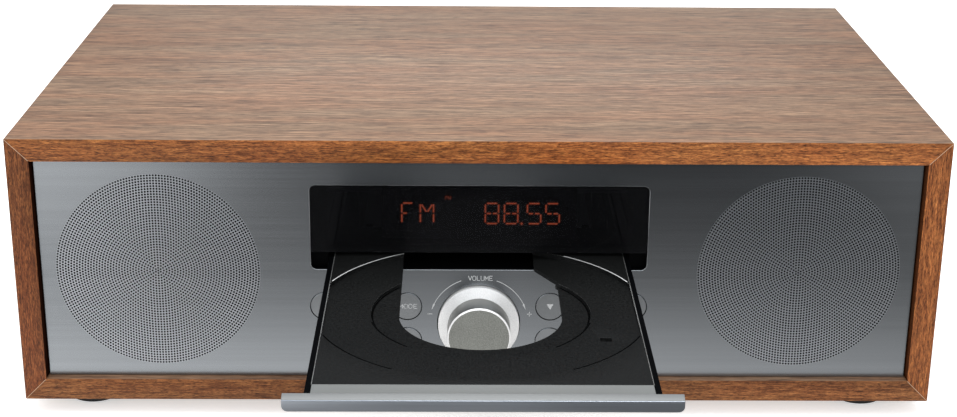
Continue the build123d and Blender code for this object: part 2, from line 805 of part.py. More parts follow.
# ---------------------------------------------------------------- electronics and rear
def electronics():
    """Main board on its spacers with its parts, heat sink and mains transformer."""
    board_low = 16.0
    board_high = board_low + board_thickness
    board = block(-53, 53, 62.0, 190.0, board_low, board_high)
    for x in (-46, 46):
        for d in (68, 166):
            board += along_z(disc(x, d, 3.0), inner_low, board_low)
    capacitors = ((-44, 181, 6.3, 34), (-30, 181, 6.3, 34), (30, 120, 4, 26), (40, 120, 4, 26))
    for x, d, radius, top in capacitors:
        board += along_z(disc(x, d, radius), board_high, top)
    chips = ((0, 100, 14, 19.4), (30, 90, 10, 19.2), (-30, 130, 12, 19.2))
    for x, d, width, top in chips:
        half = width / 2
        board += block(x - half, x + half, d - half, d + half, board_high, top)
    save("main_board", board)

    sink_x = 4.0
    sink_w = 46.0
    sink_top = 48.0
    fin_t = 1.6
    fin_count = 8
    fins = block(sink_x, sink_x + sink_w, 186.0, 189.0, board_high, sink_top)
    for index in range(fin_count):
        x = sink_x + index * (sink_w - fin_t) / (fin_count - 1)
        fins += block(x, x + fin_t, 174.0, 187.0, board_high, sink_top)
    save("heat_sink", fins)

    base_top = inner_low + 3
    core = block(-152, -98, 128.0, 146.0, base_top, 54)
    core += block(-158, -92, 126.0, 148.0, inner_low, base_top)
    core += along_z(rrect(-143, -107, 116.0, 158.0, 4), 21.0, 45.0)
    save("power_transformer", core)


def rear():
    """Rear panel with its vents and the sockets that it carries."""
    back = rear_panel_depth + rear_panel_t
    socket_h = 28.0
    edge = inner_x - 0.4
    sheet = rect(-edge, edge, inner_low + 0.3, inner_high - 0.3)
    vent_w = 3.2
    for column in range(10):
        x = -160 + column * 8
        sheet -= rrect(x, x + vent_w, 62, 90, 1.5)
    inlet_x = -125.0
    mouth = (10.5, 5.5)
    sheet -= rrect(inlet_x - mouth[0], inlet_x + mouth[0], socket_h - mouth[1], socket_h + mouth[1], 4.0)
    jacks = ((60.0, socket_h), (78.0, socket_h))
    jack_collar_r = 4.0
    sheet -= holes(jack_collar_r + 0.2, jacks)
    aerial_x = 112.0
    aerial_r = 4.75
    sheet -= disc(aerial_x, socket_h, aerial_r + 0.45)
    save("rear_panel", along_y(sheet, rear_panel_depth, back))

    def oblong(half_w, half_h, radius):
        """Rounded rectangle about the mains inlet's middle."""
        return rrect(inlet_x - half_w, inlet_x + half_w, socket_h - half_h, socket_h + half_h, radius)

    # Two-pin mains inlet: a cup with a rim, a rounded mouth and its pins.
    cup = along_y(oblong(mouth[0] - 0.2, mouth[1] - 0.2, 3.9), 194.0, back)
    cup += along_y(oblong(13.0, 8.0, 3.0), back, back + 1.5)
    cup -= along_y(oblong(8.6, 3.9, 3.8), 196.5, back + 2)
    for x in (inlet_x - 5.2, inlet_x + 5.2):
        cup += along_y(disc(x, socket_h, 1.18), 195.0, back - 0.5)
    save("mains_inlet", cup)

    sockets = []
    plug_r = 1.8
    for x, h in jacks:
        jack = along_y(rect(x - 5.5, x + 5.5, h - 5.5, h + 5.5), 192.0, rear_panel_depth)
        jack += along_y(disc(x, h, jack_collar_r), rear_panel_depth, back + 1.0)
        jack -= along_y(disc(x, h, plug_r), 193.0, back + 1.0)
        sockets.append(jack)
    save("audio_jacks", Compound(children=sockets))

    aerial = along_y(rect(aerial_x - 7, aerial_x + 7, 21, 35), 194.0, rear_panel_depth)
    aerial += along_y(disc(aerial_x, socket_h, aerial_r), rear_panel_depth, back + 8.0)
    aerial -= along_y(disc(aerial_x, socket_h, 3.4), 200.0, back + 8.0)
    aerial += along_y(disc(aerial_x, socket_h, 0.8), 199.5, back + 6.0)
    save("antenna_connector", aerial)


def pan_head(x, h, seat, shank=None):
    """Screw about the front-to-back axis with its head on a seat, and its shank from a depth."""
    head_r = 3.0
    shank_r = 1.4
    head = [(head_r, seat), (head_r, seat + 1.0), (head_r - 1.0, seat + 1.8), (0, seat + 1.8)]
    if shank is None:
        return turned_y([(0, seat)] + head, x, h)
    return turned_y([(0, shank), (shank_r, shank), (shank_r, seat)] + head, x, h)


def screws():
    """Pan-head screws of the rear panel and of the speakers."""
    back = rear_panel_depth + rear_panel_t
    basket_rim = 10.0
    group = [pan_head(x, h, back) for x in (-164.0, -55.0, 55.0, 164.0) for h in (15.0, 93.5)]
    for side in (-1, 1):
        for turn in range(4):
            angle = radians(45 + 90 * turn)
            x = side * speaker_x + speaker_screw_r * cos(angle)
            h = speaker_h + speaker_screw_r * sin(angle)
            group.append(pan_head(x, h, basket_rim, chassis_back))
    save("screws", Compound(children=group))


cabinet()
feet()
faceplate()
front_chassis()
display()
front_board()
buttons()
volume_control()
speakers()
disc_tray()
tray_bar()
gear_xs = drawer_drive()
loader_frame(*gear_xs)
traverse()
clamp()
electronics()
rear()
screws()
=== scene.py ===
import json
from math import cos, hypot, pi, radians, sin

import bmesh
import bpy
from mathutils import Matrix, Vector
from mathutils.geometry import delaunay_2d_cdt

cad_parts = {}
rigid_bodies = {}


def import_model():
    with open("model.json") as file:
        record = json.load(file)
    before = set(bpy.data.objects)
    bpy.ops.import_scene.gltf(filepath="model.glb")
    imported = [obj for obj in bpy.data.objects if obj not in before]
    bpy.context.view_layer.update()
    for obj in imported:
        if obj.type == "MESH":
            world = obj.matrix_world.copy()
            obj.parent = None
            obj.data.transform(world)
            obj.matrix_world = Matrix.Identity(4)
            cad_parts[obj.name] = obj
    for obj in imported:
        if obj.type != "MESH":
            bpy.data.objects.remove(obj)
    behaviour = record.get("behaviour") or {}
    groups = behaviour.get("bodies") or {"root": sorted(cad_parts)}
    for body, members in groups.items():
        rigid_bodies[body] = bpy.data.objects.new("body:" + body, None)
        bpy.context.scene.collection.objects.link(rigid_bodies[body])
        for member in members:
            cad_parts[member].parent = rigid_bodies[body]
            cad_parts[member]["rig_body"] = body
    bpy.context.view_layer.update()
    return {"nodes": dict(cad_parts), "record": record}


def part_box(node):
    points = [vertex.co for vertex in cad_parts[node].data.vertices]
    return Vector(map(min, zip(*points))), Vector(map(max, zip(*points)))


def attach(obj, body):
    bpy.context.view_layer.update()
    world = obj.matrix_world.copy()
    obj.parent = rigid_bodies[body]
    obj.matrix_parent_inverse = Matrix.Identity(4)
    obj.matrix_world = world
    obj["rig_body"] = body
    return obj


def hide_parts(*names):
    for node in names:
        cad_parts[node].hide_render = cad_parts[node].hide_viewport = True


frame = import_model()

MM = 0.001

# ------------------------ places, from the frame
board_low, board_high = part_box("cabinet_top")
front_y = board_low.y
cabinet_top_z = board_high.z
underside_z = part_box("cabinet_bottom")[0].z
board_t = cabinet_top_z - board_low.z
half_w = board_high.x
plate_low, plate_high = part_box("faceplate")
plate_y = plate_low.y
plate_back_y = plate_high.y


def centre_of(node):
    """The middle of a CAD node's box."""
    low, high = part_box(node)
    return (low + high) / 2


def height(mm):
    """A height in mm above the cabinet's underside, as a Z of the shared frame."""
    return underside_z + mm * MM


# Sizes of the openings and the drawer that the boxes of the nodes don't give.
WINDOW_HALF_W = 65.5 * MM
WINDOW_BOTTOM = height(54.7)
WINDOW_TOP = height(89.4)
KNOB_HOLE_R = 16.4 * MM
BUTTON_HOLE_R = 5.9 * MM
CLOTH_R = 41.5 * MM
DISC_CENTRE = Vector((0, front_y - 46.7 * MM))
DISC_R = 60.4 * MM
DISC_RECESS = 1.7 * MM
SMALL_DISC_R = 39.8 * MM
SMALL_DISC_RECESS = 2.9 * MM
RAIL_W = 2.2 * MM
RAIL_DROP = 0.5 * MM
BAR_DEPTH = 3.3 * MM


# ------------------------ node helpers
def new_material(name, **sockets):
    """A node material and its tree and Principled shader, with constants set on the shader."""
    material = bpy.data.materials.new(name)
    material.use_nodes = True
    tree = material.node_tree
    shader = tree.nodes["Principled BSDF"]
    for key, value in sockets.items():
        label = key.replace("_", " ")
        socket = shader.inputs[label]
        if isinstance(value, tuple) and len(value) == 3:
            value = (*value, 1.0)
        socket.default_value = value
    return material, tree, shader


def add(tree, kind, inputs=None, **settings):
    """A shader node of a kind with its settings, and its inputs linked or set."""
    node = tree.nodes.new("ShaderNode" + kind)
    for key, value in settings.items():
        setattr(node, key, value)
    for key, value in (inputs or {}).items():
        if isinstance(value, bpy.types.NodeSocket):
            tree.links.new(value, node.inputs[key])
        else:
            node.inputs[key].default_value = value
    return node


def stretched(tree, scale):
    """Object coordinates stretched by a scale along X, Y and Z."""
    coords = add(tree, "TexCoord")
    mapping = add(tree, "Mapping", {"Vector": coords.outputs["Object"]})
    mapping.inputs["Scale"].default_value = scale
    return mapping.outputs["Vector"]


def noise(tree, vector, scale=1.0, detail=4.0, roughness=0.5, distortion=0.0):
    """Noise from 0 to 1."""
    made = add(tree, "TexNoise", {
        "Vector": vector, "Scale": scale, "Detail": detail,
        "Roughness": roughness, "Distortion": distortion,
    })
    return made.outputs["Fac"]


def ramp(tree, factor, *stops):
    """Colours, or greys given as one number, at places from 0 to 1."""
    made = add(tree, "ValToRGB", {"Fac": factor})
    elements = made.color_ramp.elements
    while len(elements) < len(stops):
        elements.new(0.5)
    for element, (place, colour) in zip(elements, stops):
        element.position = place
        element.color = (*colour, 1.0) if isinstance(colour, tuple) else (colour, colour, colour, 1.0)
    return made.outputs["Color"]


def swing(tree, factor, colour, share):
    """A colour that a factor makes darker and lighter by a share."""
    low, high = (tuple(c * level for c in colour) for level in (1 - share, 1 + share))
    return ramp(tree, factor, (0.3, low), (0.7, high))


def spread(tree, factor, low, high, from_low=0.3, from_high=0.7):
    """A factor mapped to the range low to high."""
    made = add(tree, "MapRange", {
        "Value": factor, "From Min": from_low, "From Max": from_high,
        "To Min": low, "To Max": high,
    })
    return made.outputs["Result"]


def mix(tree, factor, a, b, blend="MIX"):
    """Two colours mixed."""
    made = add(tree, "Mix", data_type="RGBA", blend_type=blend)
    for place, value in ((0, factor), (6, a), (7, b)):
        if isinstance(value, bpy.types.NodeSocket):
            tree.links.new(value, made.inputs[place])
        elif isinstance(value, tuple):
            made.inputs[place].default_value = (*value, 1.0)
        else:
            made.inputs[place].default_value = value
    return made.outputs[2]


def times(tree, a, b):
    """Two colours multiplied."""
    return mix(tree, 1.0, a, b, "MULTIPLY")


def bump(tree, shader, factor, depth, strength=1.0):
    """Relief of a depth in metres on the shader's normal."""
    made = add(tree, "Bump", {"Height": factor, "Strength": strength, "Distance": depth})
    tree.links.new(made.outputs["Normal"], shader.inputs["Normal"])


# ------------------------ materials
def walnut(name, along, dark, middle, light, streak, roughness, specular, contrast, seed, light_and_shade_tones=()):
    """Walnut veneer with its grain along one axis, and streaks of a length and a width in metres.

    The last argument is painted light and shade: it brightens or darkens the veneer from the cabinet's left
    end (0) to its right end (1).
    """
    material, tree, shader = new_material(name, Specular_IOR_Level=specular)

    def grain(length, width):
        """Object coordinates stretched to figures of a length and a width in metres."""
        fine, coarse = 1 / width, 1 / length
        scale = (coarse, fine, fine) if along == "x" else (fine, fine, coarse)
        moved = add(tree, "VectorMath", {
            0: stretched(tree, scale), 1: (seed, seed * 1.7, seed * 0.6),
        }, operation="ADD")
        return moved.outputs["Vector"]

    streaks = noise(tree, grain(*streak), 1.0, 5.0, 0.72, 0.12)
    bands = noise(tree, grain(0.26, 0.0052), 1.0, 5.0, 0.65, 0.2)
    flecks = noise(tree, grain(streak[0] * 0.3, streak[1] * 0.42), 1.0, 3.0, 0.65, 0.1)
    colour = ramp(tree, streaks, (0.34, dark), (0.5, middle), (0.66, light))
    depth = 0.16 * contrast
    shade = ramp(
        tree, bands, (0.30, (1 - depth, 1 - 1.15 * depth, 1 - 1.3 * depth)), (0.70, 1 + depth),
    )
    colour = times(tree, colour, shade)
    drift = noise(tree, grain(0.11, 0.016), 1.0, 2.0, 0.5, 0.3)
    hue = ramp(tree, drift, (0.38, (1.04, 0.96, 0.90)), (0.62, (0.97, 1.03, 1.05)))
    colour = times(tree, colour, hue)
    deep = 1 - 0.42 * contrast
    pores = ramp(tree, flecks, (0.35, (deep, deep * 0.94, deep * 0.9)), (0.49, 1.0))
    colour = times(tree, colour, pores)
    grit = noise(tree, grain(streak[0] * 0.26, streak[1] * 0.7), 1.0, 2.0, 0.6)
    grain_shade = ramp(tree, grit, (0.36, 1 - 0.14 * contrast), (0.64, 1 + 0.14 * contrast))
    colour = times(tree, colour, grain_shade)
    # Painted light and shade from the cabinet's left end to its right end.
    if light_and_shade_tones:
        place = add(tree, "SeparateXYZ", {"Vector": stretched(tree, (1, 1, 1))})
        across = spread(tree, place.outputs["X"], 0.0, 1.0, -half_w, half_w)
        colour = times(tree, colour, ramp(tree, across, *light_and_shade_tones))
    tree.links.new(colour, shader.inputs["Base Color"])
    tree.links.new(spread(tree, streaks, roughness + 0.07, roughness - 0.05), shader.inputs["Roughness"])
    bump(tree, shader, flecks, 0.00006, 0.5)
    return material


def metal(name, colour, roughness, brush, anisotropy=0.0, streak=0.05, metallic=1.0):
    """Metal with brush marks: brush is their noise scale along X, Y and Z; anisotropy works along Z."""
    material, tree, shader = new_material(name, Metallic=metallic, Anisotropic=anisotropy)
    marks = noise(tree, stretched(tree, brush), 1.0, 5.0, 0.65)
    cloud = noise(tree, stretched(tree, tuple(s * 0.11 for s in brush)), 1.0, 3.0, 0.5)
    fine = swing(tree, marks, colour, streak)
    tone = ramp(tree, cloud, (0.3, 0.96), (0.7, 1.03))
    tree.links.new(times(tree, fine, tone), shader.inputs["Base Color"])
    rough = spread(tree, marks, roughness - 0.02, roughness + 0.025)
    tree.links.new(rough, shader.inputs["Roughness"])
    if anisotropy:
        along = add(tree, "CombineXYZ", {"Z": 1.0})
        tree.links.new(along.outputs["Vector"], shader.inputs["Tangent"])
    bump(tree, shader, marks, 0.000004, 0.5)
    return material


def grainy(name, colour, roughness, scale=1800.0, depth=0.00003, metallic=0.0, speckle=0.12, **sockets):
    """Moulded, cast or blasted surface: fine speckle in colour, roughness and relief."""
    material, tree, shader = new_material(name, Metallic=metallic, **sockets)
    place = stretched(tree, (1, 1, 1))
    fine = noise(tree, place, scale, 3.0, 0.6)
    wide = noise(tree, place, scale * 0.03, 2.0, 0.5)
    speck = swing(tree, fine, colour, speckle)
    tone = ramp(tree, wide, (0.3, 0.93), (0.7, 1.06))
    tree.links.new(times(tree, speck, tone), shader.inputs["Base Color"])
    tree.links.new(spread(tree, fine, roughness - 0.06, roughness + 0.06), shader.inputs["Roughness"])
    bump(tree, shader, fine, depth, 0.5)
    return material


def smoked_window():
    """Polished smoked acrylic."""
    material, tree, shader = new_material("smoked_window", Transmission_Weight=0.965, IOR=1.18)
    faint = noise(tree, stretched(tree, (60, 60, 60)), 1.0, 2.0, 0.5)
    tree.links.new(spread(tree, faint, 0.004, 0.010), shader.inputs["Roughness"])
    tint = ramp(tree, faint, (0.3, (0.078, 0.080, 0.088)), (0.7, (0.082, 0.084, 0.092)))
    tree.links.new(tint, shader.inputs["Base Color"])
    return material


def lit_segment(name, strength):
    """Orange-red light of the display's segments."""
    material, tree, shader = new_material(name, Base_Color=(0.05, 0.006, 0.002), Roughness=0.5)
    flicker = noise(tree, stretched(tree, (700, 700, 700)), 1.0, 2.0, 0.5)
    glow = ramp(tree, flicker, (0.3, (1.0, 0.155, 0.065)), (0.7, (1.0, 0.20, 0.085)))
    tree.links.new(glow, shader.inputs["Emission Color"])
    shader.inputs["Emission Strength"].default_value = strength
    return material


def woven(name, colour):
    """Black woven speaker cloth."""
    material, tree, shader = new_material(name, Roughness=0.9, Specular_IOR_Level=0.1)
    coords = stretched(tree, (2600, 2600, 2600))
    across = add(tree, "TexWave", {"Vector": coords, "Scale": 0.32}, bands_direction="X")
    up = add(tree, "TexWave", {"Vector": coords, "Scale": 0.32}, bands_direction="Z")
    threads = mix(tree, 0.5, across.outputs["Color"], up.outputs["Color"])
    low = tuple(c * 0.5 for c in colour)
    shade = ramp(tree, threads, (0.2, low), (0.8, colour))
    tree.links.new(shade, shader.inputs["Base Color"])
    bump(tree, shader, threads, 0.00008, 0.6)
    return material


def board_material(name):
    """Circuit board: green mask with copper tracks under it."""
    material, tree, shader = new_material(name, Roughness=0.42)
    tracks = add(tree, "TexVoronoi", {"Vector": stretched(tree, (240, 240, 240)), "Scale": 1.0})
    tracks.distance = "MANHATTAN"
    mask = ramp(
        tree, tracks.outputs["Distance"],
        (0.30, (0.012, 0.10, 0.04)), (0.34, (0.03, 0.20, 0.08)), (0.6, (0.016, 0.13, 0.05)),
    )
    tree.links.new(mask, shader.inputs["Base Color"])
    bump(tree, shader, tracks.outputs["Distance"], 0.00004, 0.4)
    return material


def toned(colours, red, green, blue):
    """Each colour multiplied channel by channel."""
    return [(c[0] * red, c[1] * green, c[2] * blue) for c in colours]


# Dark, middle and light veneer of the broad faces and of the fronts.
WOOD_TOP = ((0.108, 0.053, 0.028), (0.238, 0.136, 0.079), (0.302, 0.183, 0.109))
WOOD_EDGE = ((0.080, 0.022, 0.006), (0.205, 0.068, 0.020), (0.330, 0.126, 0.040))
# Length and width of a streak on them.
TOP_STREAK = (0.024, 0.0013)
EDGE_STREAK = (0.0060, 0.00055)
# Painted light and shade along the top board's front: darker at its left end, lightest a little right of
# the middle.
FRONT_TOP_PAINTED_LIGHT = ((0.0, 0.76), (0.3, 0.92), (0.55, 1.16), (1.0, 1.06))

wood = {}
# The fronts take tones of the one edge veneer as painted light and shade: lighter on the top and right
# fronts, darker on the bottom and left fronts.
for kind, along, colours, *looks in (
    ("top", "x", toned(WOOD_TOP, 1.03, 1.02, 0.98), TOP_STREAK, 0.42, 0.5, 1.4, 3.1),
    ("bottom", "x", WOOD_TOP, TOP_STREAK, 0.45, 0.4, 1.1, 8.4),
    ("side", "z", WOOD_TOP, TOP_STREAK, 0.42, 0.4, 1.1, 5.7),
    (
        "front_top", "x", toned(WOOD_EDGE, 1.26, 1.24, 1.02), EDGE_STREAK, 0.42, 0.2, 1.75, 1.9,
        FRONT_TOP_PAINTED_LIGHT,
    ),
    ("front_bottom", "x", toned(WOOD_EDGE, 0.88, 0.93, 0.94), EDGE_STREAK, 0.42, 0.2, 1.75, 4.4),
    ("front_left", "z", toned(WOOD_EDGE, 0.71, 0.64, 0.58), EDGE_STREAK, 0.42, 0.2, 1.75, 6.3),
    ("front_right", "z", toned(WOOD_EDGE, 1.13, 1.00, 0.82), EDGE_STREAK, 0.42, 0.2, 1.75, 7.8),
    # Dark tones of the edge veneer as painted shade on the inner faces round the faceplate, darkest on the
    # left board.
    ("reveal", "x", toned(WOOD_EDGE, 0.30, 0.28, 0.30), EDGE_STREAK, 0.6, 0.05, 1.0, 2.7),
    ("reveal_left", "z", toned(WOOD_EDGE, 0.07, 0.06, 0.07), EDGE_STREAK, 0.7, 0.02, 1.0, 9.2),
):
    wood[kind] = walnut("walnut_" + kind, along, *colours, *looks)
joint_line = grainy("joint_line", (0.46, 0.29, 0.18), 0.5, 2600.0, 0.00001, 0.0, 0.12)
plate_metal = metal("brushed_plate", (0.298, 0.314, 0.330), 0.24, (7, 3000, 3000), 0.5, 0.035)
field_metal = metal("pierced_plate", (0.415, 0.434, 0.455), 0.36, (7, 3000, 3000), 0.35, 0.03)
# One brushed metal for the bar, toned apart for its front and its top as painted light and shade.
bar_front_painted_light = metal("brushed_bar_front", (0.64, 0.68, 0.74), 0.34, (9, 2200, 2200), 0.5, 0.06)
bar_top_painted_light = metal("brushed_bar_top", (0.226, 0.229, 0.224), 0.42, (9, 2200, 2200), 0.3, 0.05, 0.55)
lip_metal = metal("brushed_lip", (0.292, 0.302, 0.294), 0.42, (9, 2200, 2200), 0.3, 0.04, 0.55)
button_metal = grainy("blasted_aluminium", (0.31, 0.322, 0.332), 0.36, 5200.0, 0.00001, 1.0, 0.08)
knob_side = grainy("turned_aluminium", (0.265, 0.265, 0.252), 0.34, 6000.0, 0.000004, 1.0, 0.05)
# Turned aluminium of the skirt, with its bright reflection partly painted in as a pale, mostly matt colour.
knob_skirt_sheen = grainy("turned_aluminium_with_sheen", (0.80, 0.80, 0.79), 0.45, 2600.0, 0.000004, 0.35, 0.10)
knob_face = grainy("sparkling_aluminium", (0.290, 0.295, 0.270), 0.42, 2100.0, 0.00003, 0.7, 0.30)
# Polished edge, with its highlight painted in as a near-white, mostly matt colour.
polished_edge_highlight = grainy("polished_aluminium_highlight", (0.95, 0.95, 0.94), 0.16, 900.0, 0.000002, 0.12, 0.02)
print_ink = grainy("pale_ink", (0.48, 0.49, 0.49), 0.6, 2600.0, 0.00001, 0.0, 0.03)
plate_edge = grainy("cut_edge", (0.42, 0.43, 0.44), 0.30, 3000.0, 0.000004, 0.7, 0.03)
# Near-black walls of the speaker holes: painted shade inside the holes.
shaded_hole_wall = grainy("shaded_hole_wall", (0.012, 0.012, 0.013), 0.8, 3000.0, 0.00001, Specular_IOR_Level=0.1)
tray_edge = grainy("tray_edge", (0.014, 0.015, 0.015), 0.35, 1300.0, 0.00001, 0.0, 0.1)
# Light greys painted as highlights on the tray's far rims and the edges beside its rails.
tray_highlight = grainy("tray_highlight", (0.66, 0.67, 0.67), 0.28, 1300.0, 0.00001, 0.0, 0.1)
tray_dim_highlight = grainy("tray_dim_highlight", (0.15, 0.153, 0.15), 0.30, 1300.0, 0.00001, 0.0, 0.1)
# Near-black rings of painted shade at the edges of the recesses.
tray_painted_shade = grainy("tray_painted_shade", (0.0012, 0.0013, 0.0013), 0.8, 1300.0, 0.00001, Specular_IOR_Level=0.02)
# Near-black of the rails, also painted as shade on the near rims of the recesses.
tray_rail_and_rim_shade = grainy("tray_rail_and_rim_shade", (0.0012, 0.0014, 0.0018), 0.7, 1300.0, 0.00004, Specular_IOR_Level=0.02)
lit = lit_segment("lit_segment", 2.3)
lit_faint = lit_segment("lit_segment_faint", 1.3)
lit_halo = lit_segment("lit_segment_halo", 0.10)
# Blacker than the black plastic: painted shade on the front chassis behind the faceplate.
chassis_shade_black = grainy(
    "chassis_shade_black", (0.0018, 0.0019, 0.0022), 0.7, 1500.0, 0.00003, Specular_IOR_Level=0.04,
)
black_plastic = grainy(
    "black_plastic", (0.008, 0.008, 0.009), 0.55, 1500.0, 0.00003, Specular_IOR_Level=0.15,
)

finishes = {
    "walnut": wood["top"],
    "brushed_aluminium": plate_metal,
    "button_aluminium": button_metal,
    "knob_aluminium": knob_side,
    "bar_aluminium": lip_metal,
    "smoked_acrylic": smoked_window(),
    "display_glass": grainy("display_face", (0.010, 0.010, 0.011), 0.3, 900.0, 0.00001),
    "circuit_board": board_material("circuit_board"),
    "black_plastic": black_plastic,
    "tray_plastic": grainy(
        "tray_plastic", (0.0066, 0.0070, 0.0068), 0.55, 1100.0, 0.0001, 0.0, 0.75,
        Specular_IOR_Level=0.09,
    ),
    "white_plastic": grainy("white_acetal", (0.70, 0.69, 0.64), 0.38, 700.0, 0.00001, 0.0, 0.04),
    "belt_rubber": grainy("belt_rubber", (0.02, 0.02, 0.02), 0.65, 1500.0, 0.00002),
    "foot_rubber": grainy("foot_rubber", (0.018, 0.018, 0.018), 0.7, 1200.0, 0.00004),
    "grille_cloth": woven("grille_cloth", (0.006, 0.006, 0.007)),
    "speaker_paper": grainy("speaker_paper", (0.045, 0.045, 0.045), 0.85, 800.0, 0.0001, 0.0, 0.3),
    "surround_rubber": grainy("surround_rubber", (0.02, 0.02, 0.02), 0.5, 1200.0, 0.00002),
    "stamped_steel": metal("zinc_steel", (0.56, 0.57, 0.58), 0.33, (240, 60, 240)),
    "ferrite": grainy("ferrite", (0.05, 0.05, 0.055), 0.6, 1500.0, 0.00004),
    "turntable_plastic": grainy("turntable_plastic", (0.03, 0.03, 0.03), 0.45, 1200.0, 0.00002),
    "heat_sink_aluminium": metal("extruded_aluminium", (0.62, 0.63, 0.64), 0.38, (300, 300, 12)),
    "transformer_iron": grainy("varnished_iron", (0.09, 0.085, 0.08), 0.4, 500.0, 0.0001, 0.6, 0.3),
    "rear_board": grainy("rear_panel_plastic", (0.02, 0.02, 0.021), 0.55, 1100.0, 0.00006),
    "nickel_brass": metal("nickel", (0.72, 0.68, 0.58), 0.25, (500, 40, 500)),
    "black_screw": metal("black_zinc", (0.05, 0.05, 0.052), 0.35, (700, 700, 700)),
}


def dress_cad_nodes():
    """Every CAD node takes the finish of its material slot, except the front chassis, which takes a blacker
    black as painted shade.
    """
    for entry in frame["record"]["subparts"]:
        piece = frame["nodes"][entry["node"]]
        own = chassis_shade_black if entry["node"] == "front_chassis" else finishes[entry["material_slot"]]
        for place in piece.material_slots:
            place.material = own


# ------------------------ mesh helpers
def show(thing):
    """Puts an object into the scene."""
    bpy.context.scene.collection.objects.link(thing)


def piece_from(name, mesh, body, slot, *replaced):
    """A visible piece made of a mesh, riding on a body; the slot argument is not used."""
    piece = bpy.data.objects.new(name, mesh)
    show(piece)
    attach(piece, body)
    if replaced:
        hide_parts(*replaced)
    return piece


def soften(piece, width, segments):
    """Rounds the sharp edges of a piece, and leaves the rounded mesh and no modifier."""
    edge = piece.modifiers.new("bevel", "BEVEL")
    edge.width = width
    edge.segments = segments
    edge.limit_method = "ANGLE"
    edge.angle_limit = radians(28)
    edge.use_clamp_overlap = True
    edge.harden_normals = False
    bpy.context.view_layer.update()
    made = bpy.data.meshes.new_from_object(piece.evaluated_get(bpy.context.evaluated_depsgraph_get()))
    piece.modifiers.clear()
    piece.data = made
    made.set_sharp_from_angle(angle=radians(38))
    for face in made.polygons:
        face.use_smooth = True


def face_outwards(mesh, merge=False):
    """Turns faces outwards, after joining points and flat faces (merge) or dropping loose points."""
    work = bmesh.new()
    work.from_mesh(mesh)
    if merge:
        bmesh.ops.remove_doubles(work, verts=work.verts, dist=1e-6)
        bmesh.ops.dissolve_limit(work, angle_limit=radians(0.6), verts=work.verts, edges=work.edges)
    else:
        loose = [v for v in work.verts if not v.link_faces]
        bmesh.ops.delete(work, geom=loose, context="VERTS")
    bmesh.ops.recalc_face_normals(work, faces=work.faces)
    work.to_mesh(mesh)
    work.free()
    mesh.update()


def body_of(node):
    """The body that a CAD node belongs to."""
    return frame["nodes"][node]["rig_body"]


def button_nodes():
    """The CAD nodes of the buttons."""
    return [name for name in frame["nodes"] if name.startswith("button_")]


def slot_of(node):
    """The material slot of a CAD node."""
    return next(e["material_slot"] for e in frame["record"]["subparts"] if e["node"] == node)


def tray_faces(mesh):
    """The rails are black. Painted highlights run along the far rims of the recesses and the edges beside
    the rails; the near rims take the rails' black as painted shade.
    """
    edge, rail, line, step = 1, 2, 3, 4
    for finish in (tray_edge, tray_rail_and_rim_shade, tray_highlight, tray_dim_highlight):
        mesh.materials.append(finish)
    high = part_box("disc_tray")[1]
    for face in mesh.polygons:
        spot = face.center
        out = abs(spot.x) - (high.x - RAIL_W)
        reach = hypot(spot.x, spot.y - DISC_CENTRE.y)
        below = high.z - spot.z
        far = spot.y > DISC_CENTRE.y
        if 0.15 < abs(face.normal.z) < 0.97:
            # Painted highlights on the far rims and rail edges; painted shade on the near rims.
            if below < 0.8 * MM and -0.4 * MM < out < 0.1 * MM:
                face.material_index = line
            elif below < 0.8 * MM and abs(reach - DISC_R) < 0.4 * MM:
                face.material_index = line if far else rail
            elif below < 2.1 * MM and abs(reach - SMALL_DISC_R) < 0.4 * MM:
                face.material_index = step if far else rail
            else:
                face.material_index = edge
        elif out > 0:
            face.material_index = rail


def bar_faces(mesh):
    """The bar's front and its top take lit and shaded copies of one brushed metal, as painted light, beside
    the lip's finish behind.
    """
    for finish in (bar_front_painted_light, bar_top_painted_light):
        mesh.materials.append(finish)
    bar_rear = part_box("tray_bar")[0].y + BAR_DEPTH
    for face in mesh.polygons:
        if face.center.y < bar_rear:
            face.material_index = 1 if face.normal.y < -0.8 else 2


def refine(node, width, segments=2, paint=None):
    """Replaces a CAD node by the same shape with softened edges."""
    mesh = frame["nodes"][node].data.copy()
    face_outwards(mesh, merge=True)
    piece = piece_from(node + "_fine", mesh, body_of(node), slot_of(node), node)
    mesh.materials.clear()
    mesh.materials.append(finishes[slot_of(node)])
    for face in mesh.polygons:
        face.material_index = 0
    soften(piece, width, segments)
    if paint is not None:
        paint(piece.data)
    return piece


def circle(x, z, radius, count, start=0.0):
    """Points of a circle in the plate's plane."""
    return [
        (x + radius * cos(start + 2 * pi * i / count), z + radius * sin(start + 2 * pi * i / count))
        for i in range(count)
    ]


def rounded_rectangle(x0, x1, z0, z1, radius, steps=8):
    """Points of a rectangle with rounded corners."""
    points = []
    for cx, cz, start in (
        (x1 - radius, z1 - radius, 0), (x0 + radius, z1 - radius, pi / 2),
        (x0 + radius, z0 + radius, pi), (x1 - radius, z0 + radius, 1.5 * pi),
    ):
        for i in range(steps + 1):
            angle = start + pi / 2 * i / steps
            points.append((cx + radius * cos(angle), cz + radius * sin(angle)))
    return points


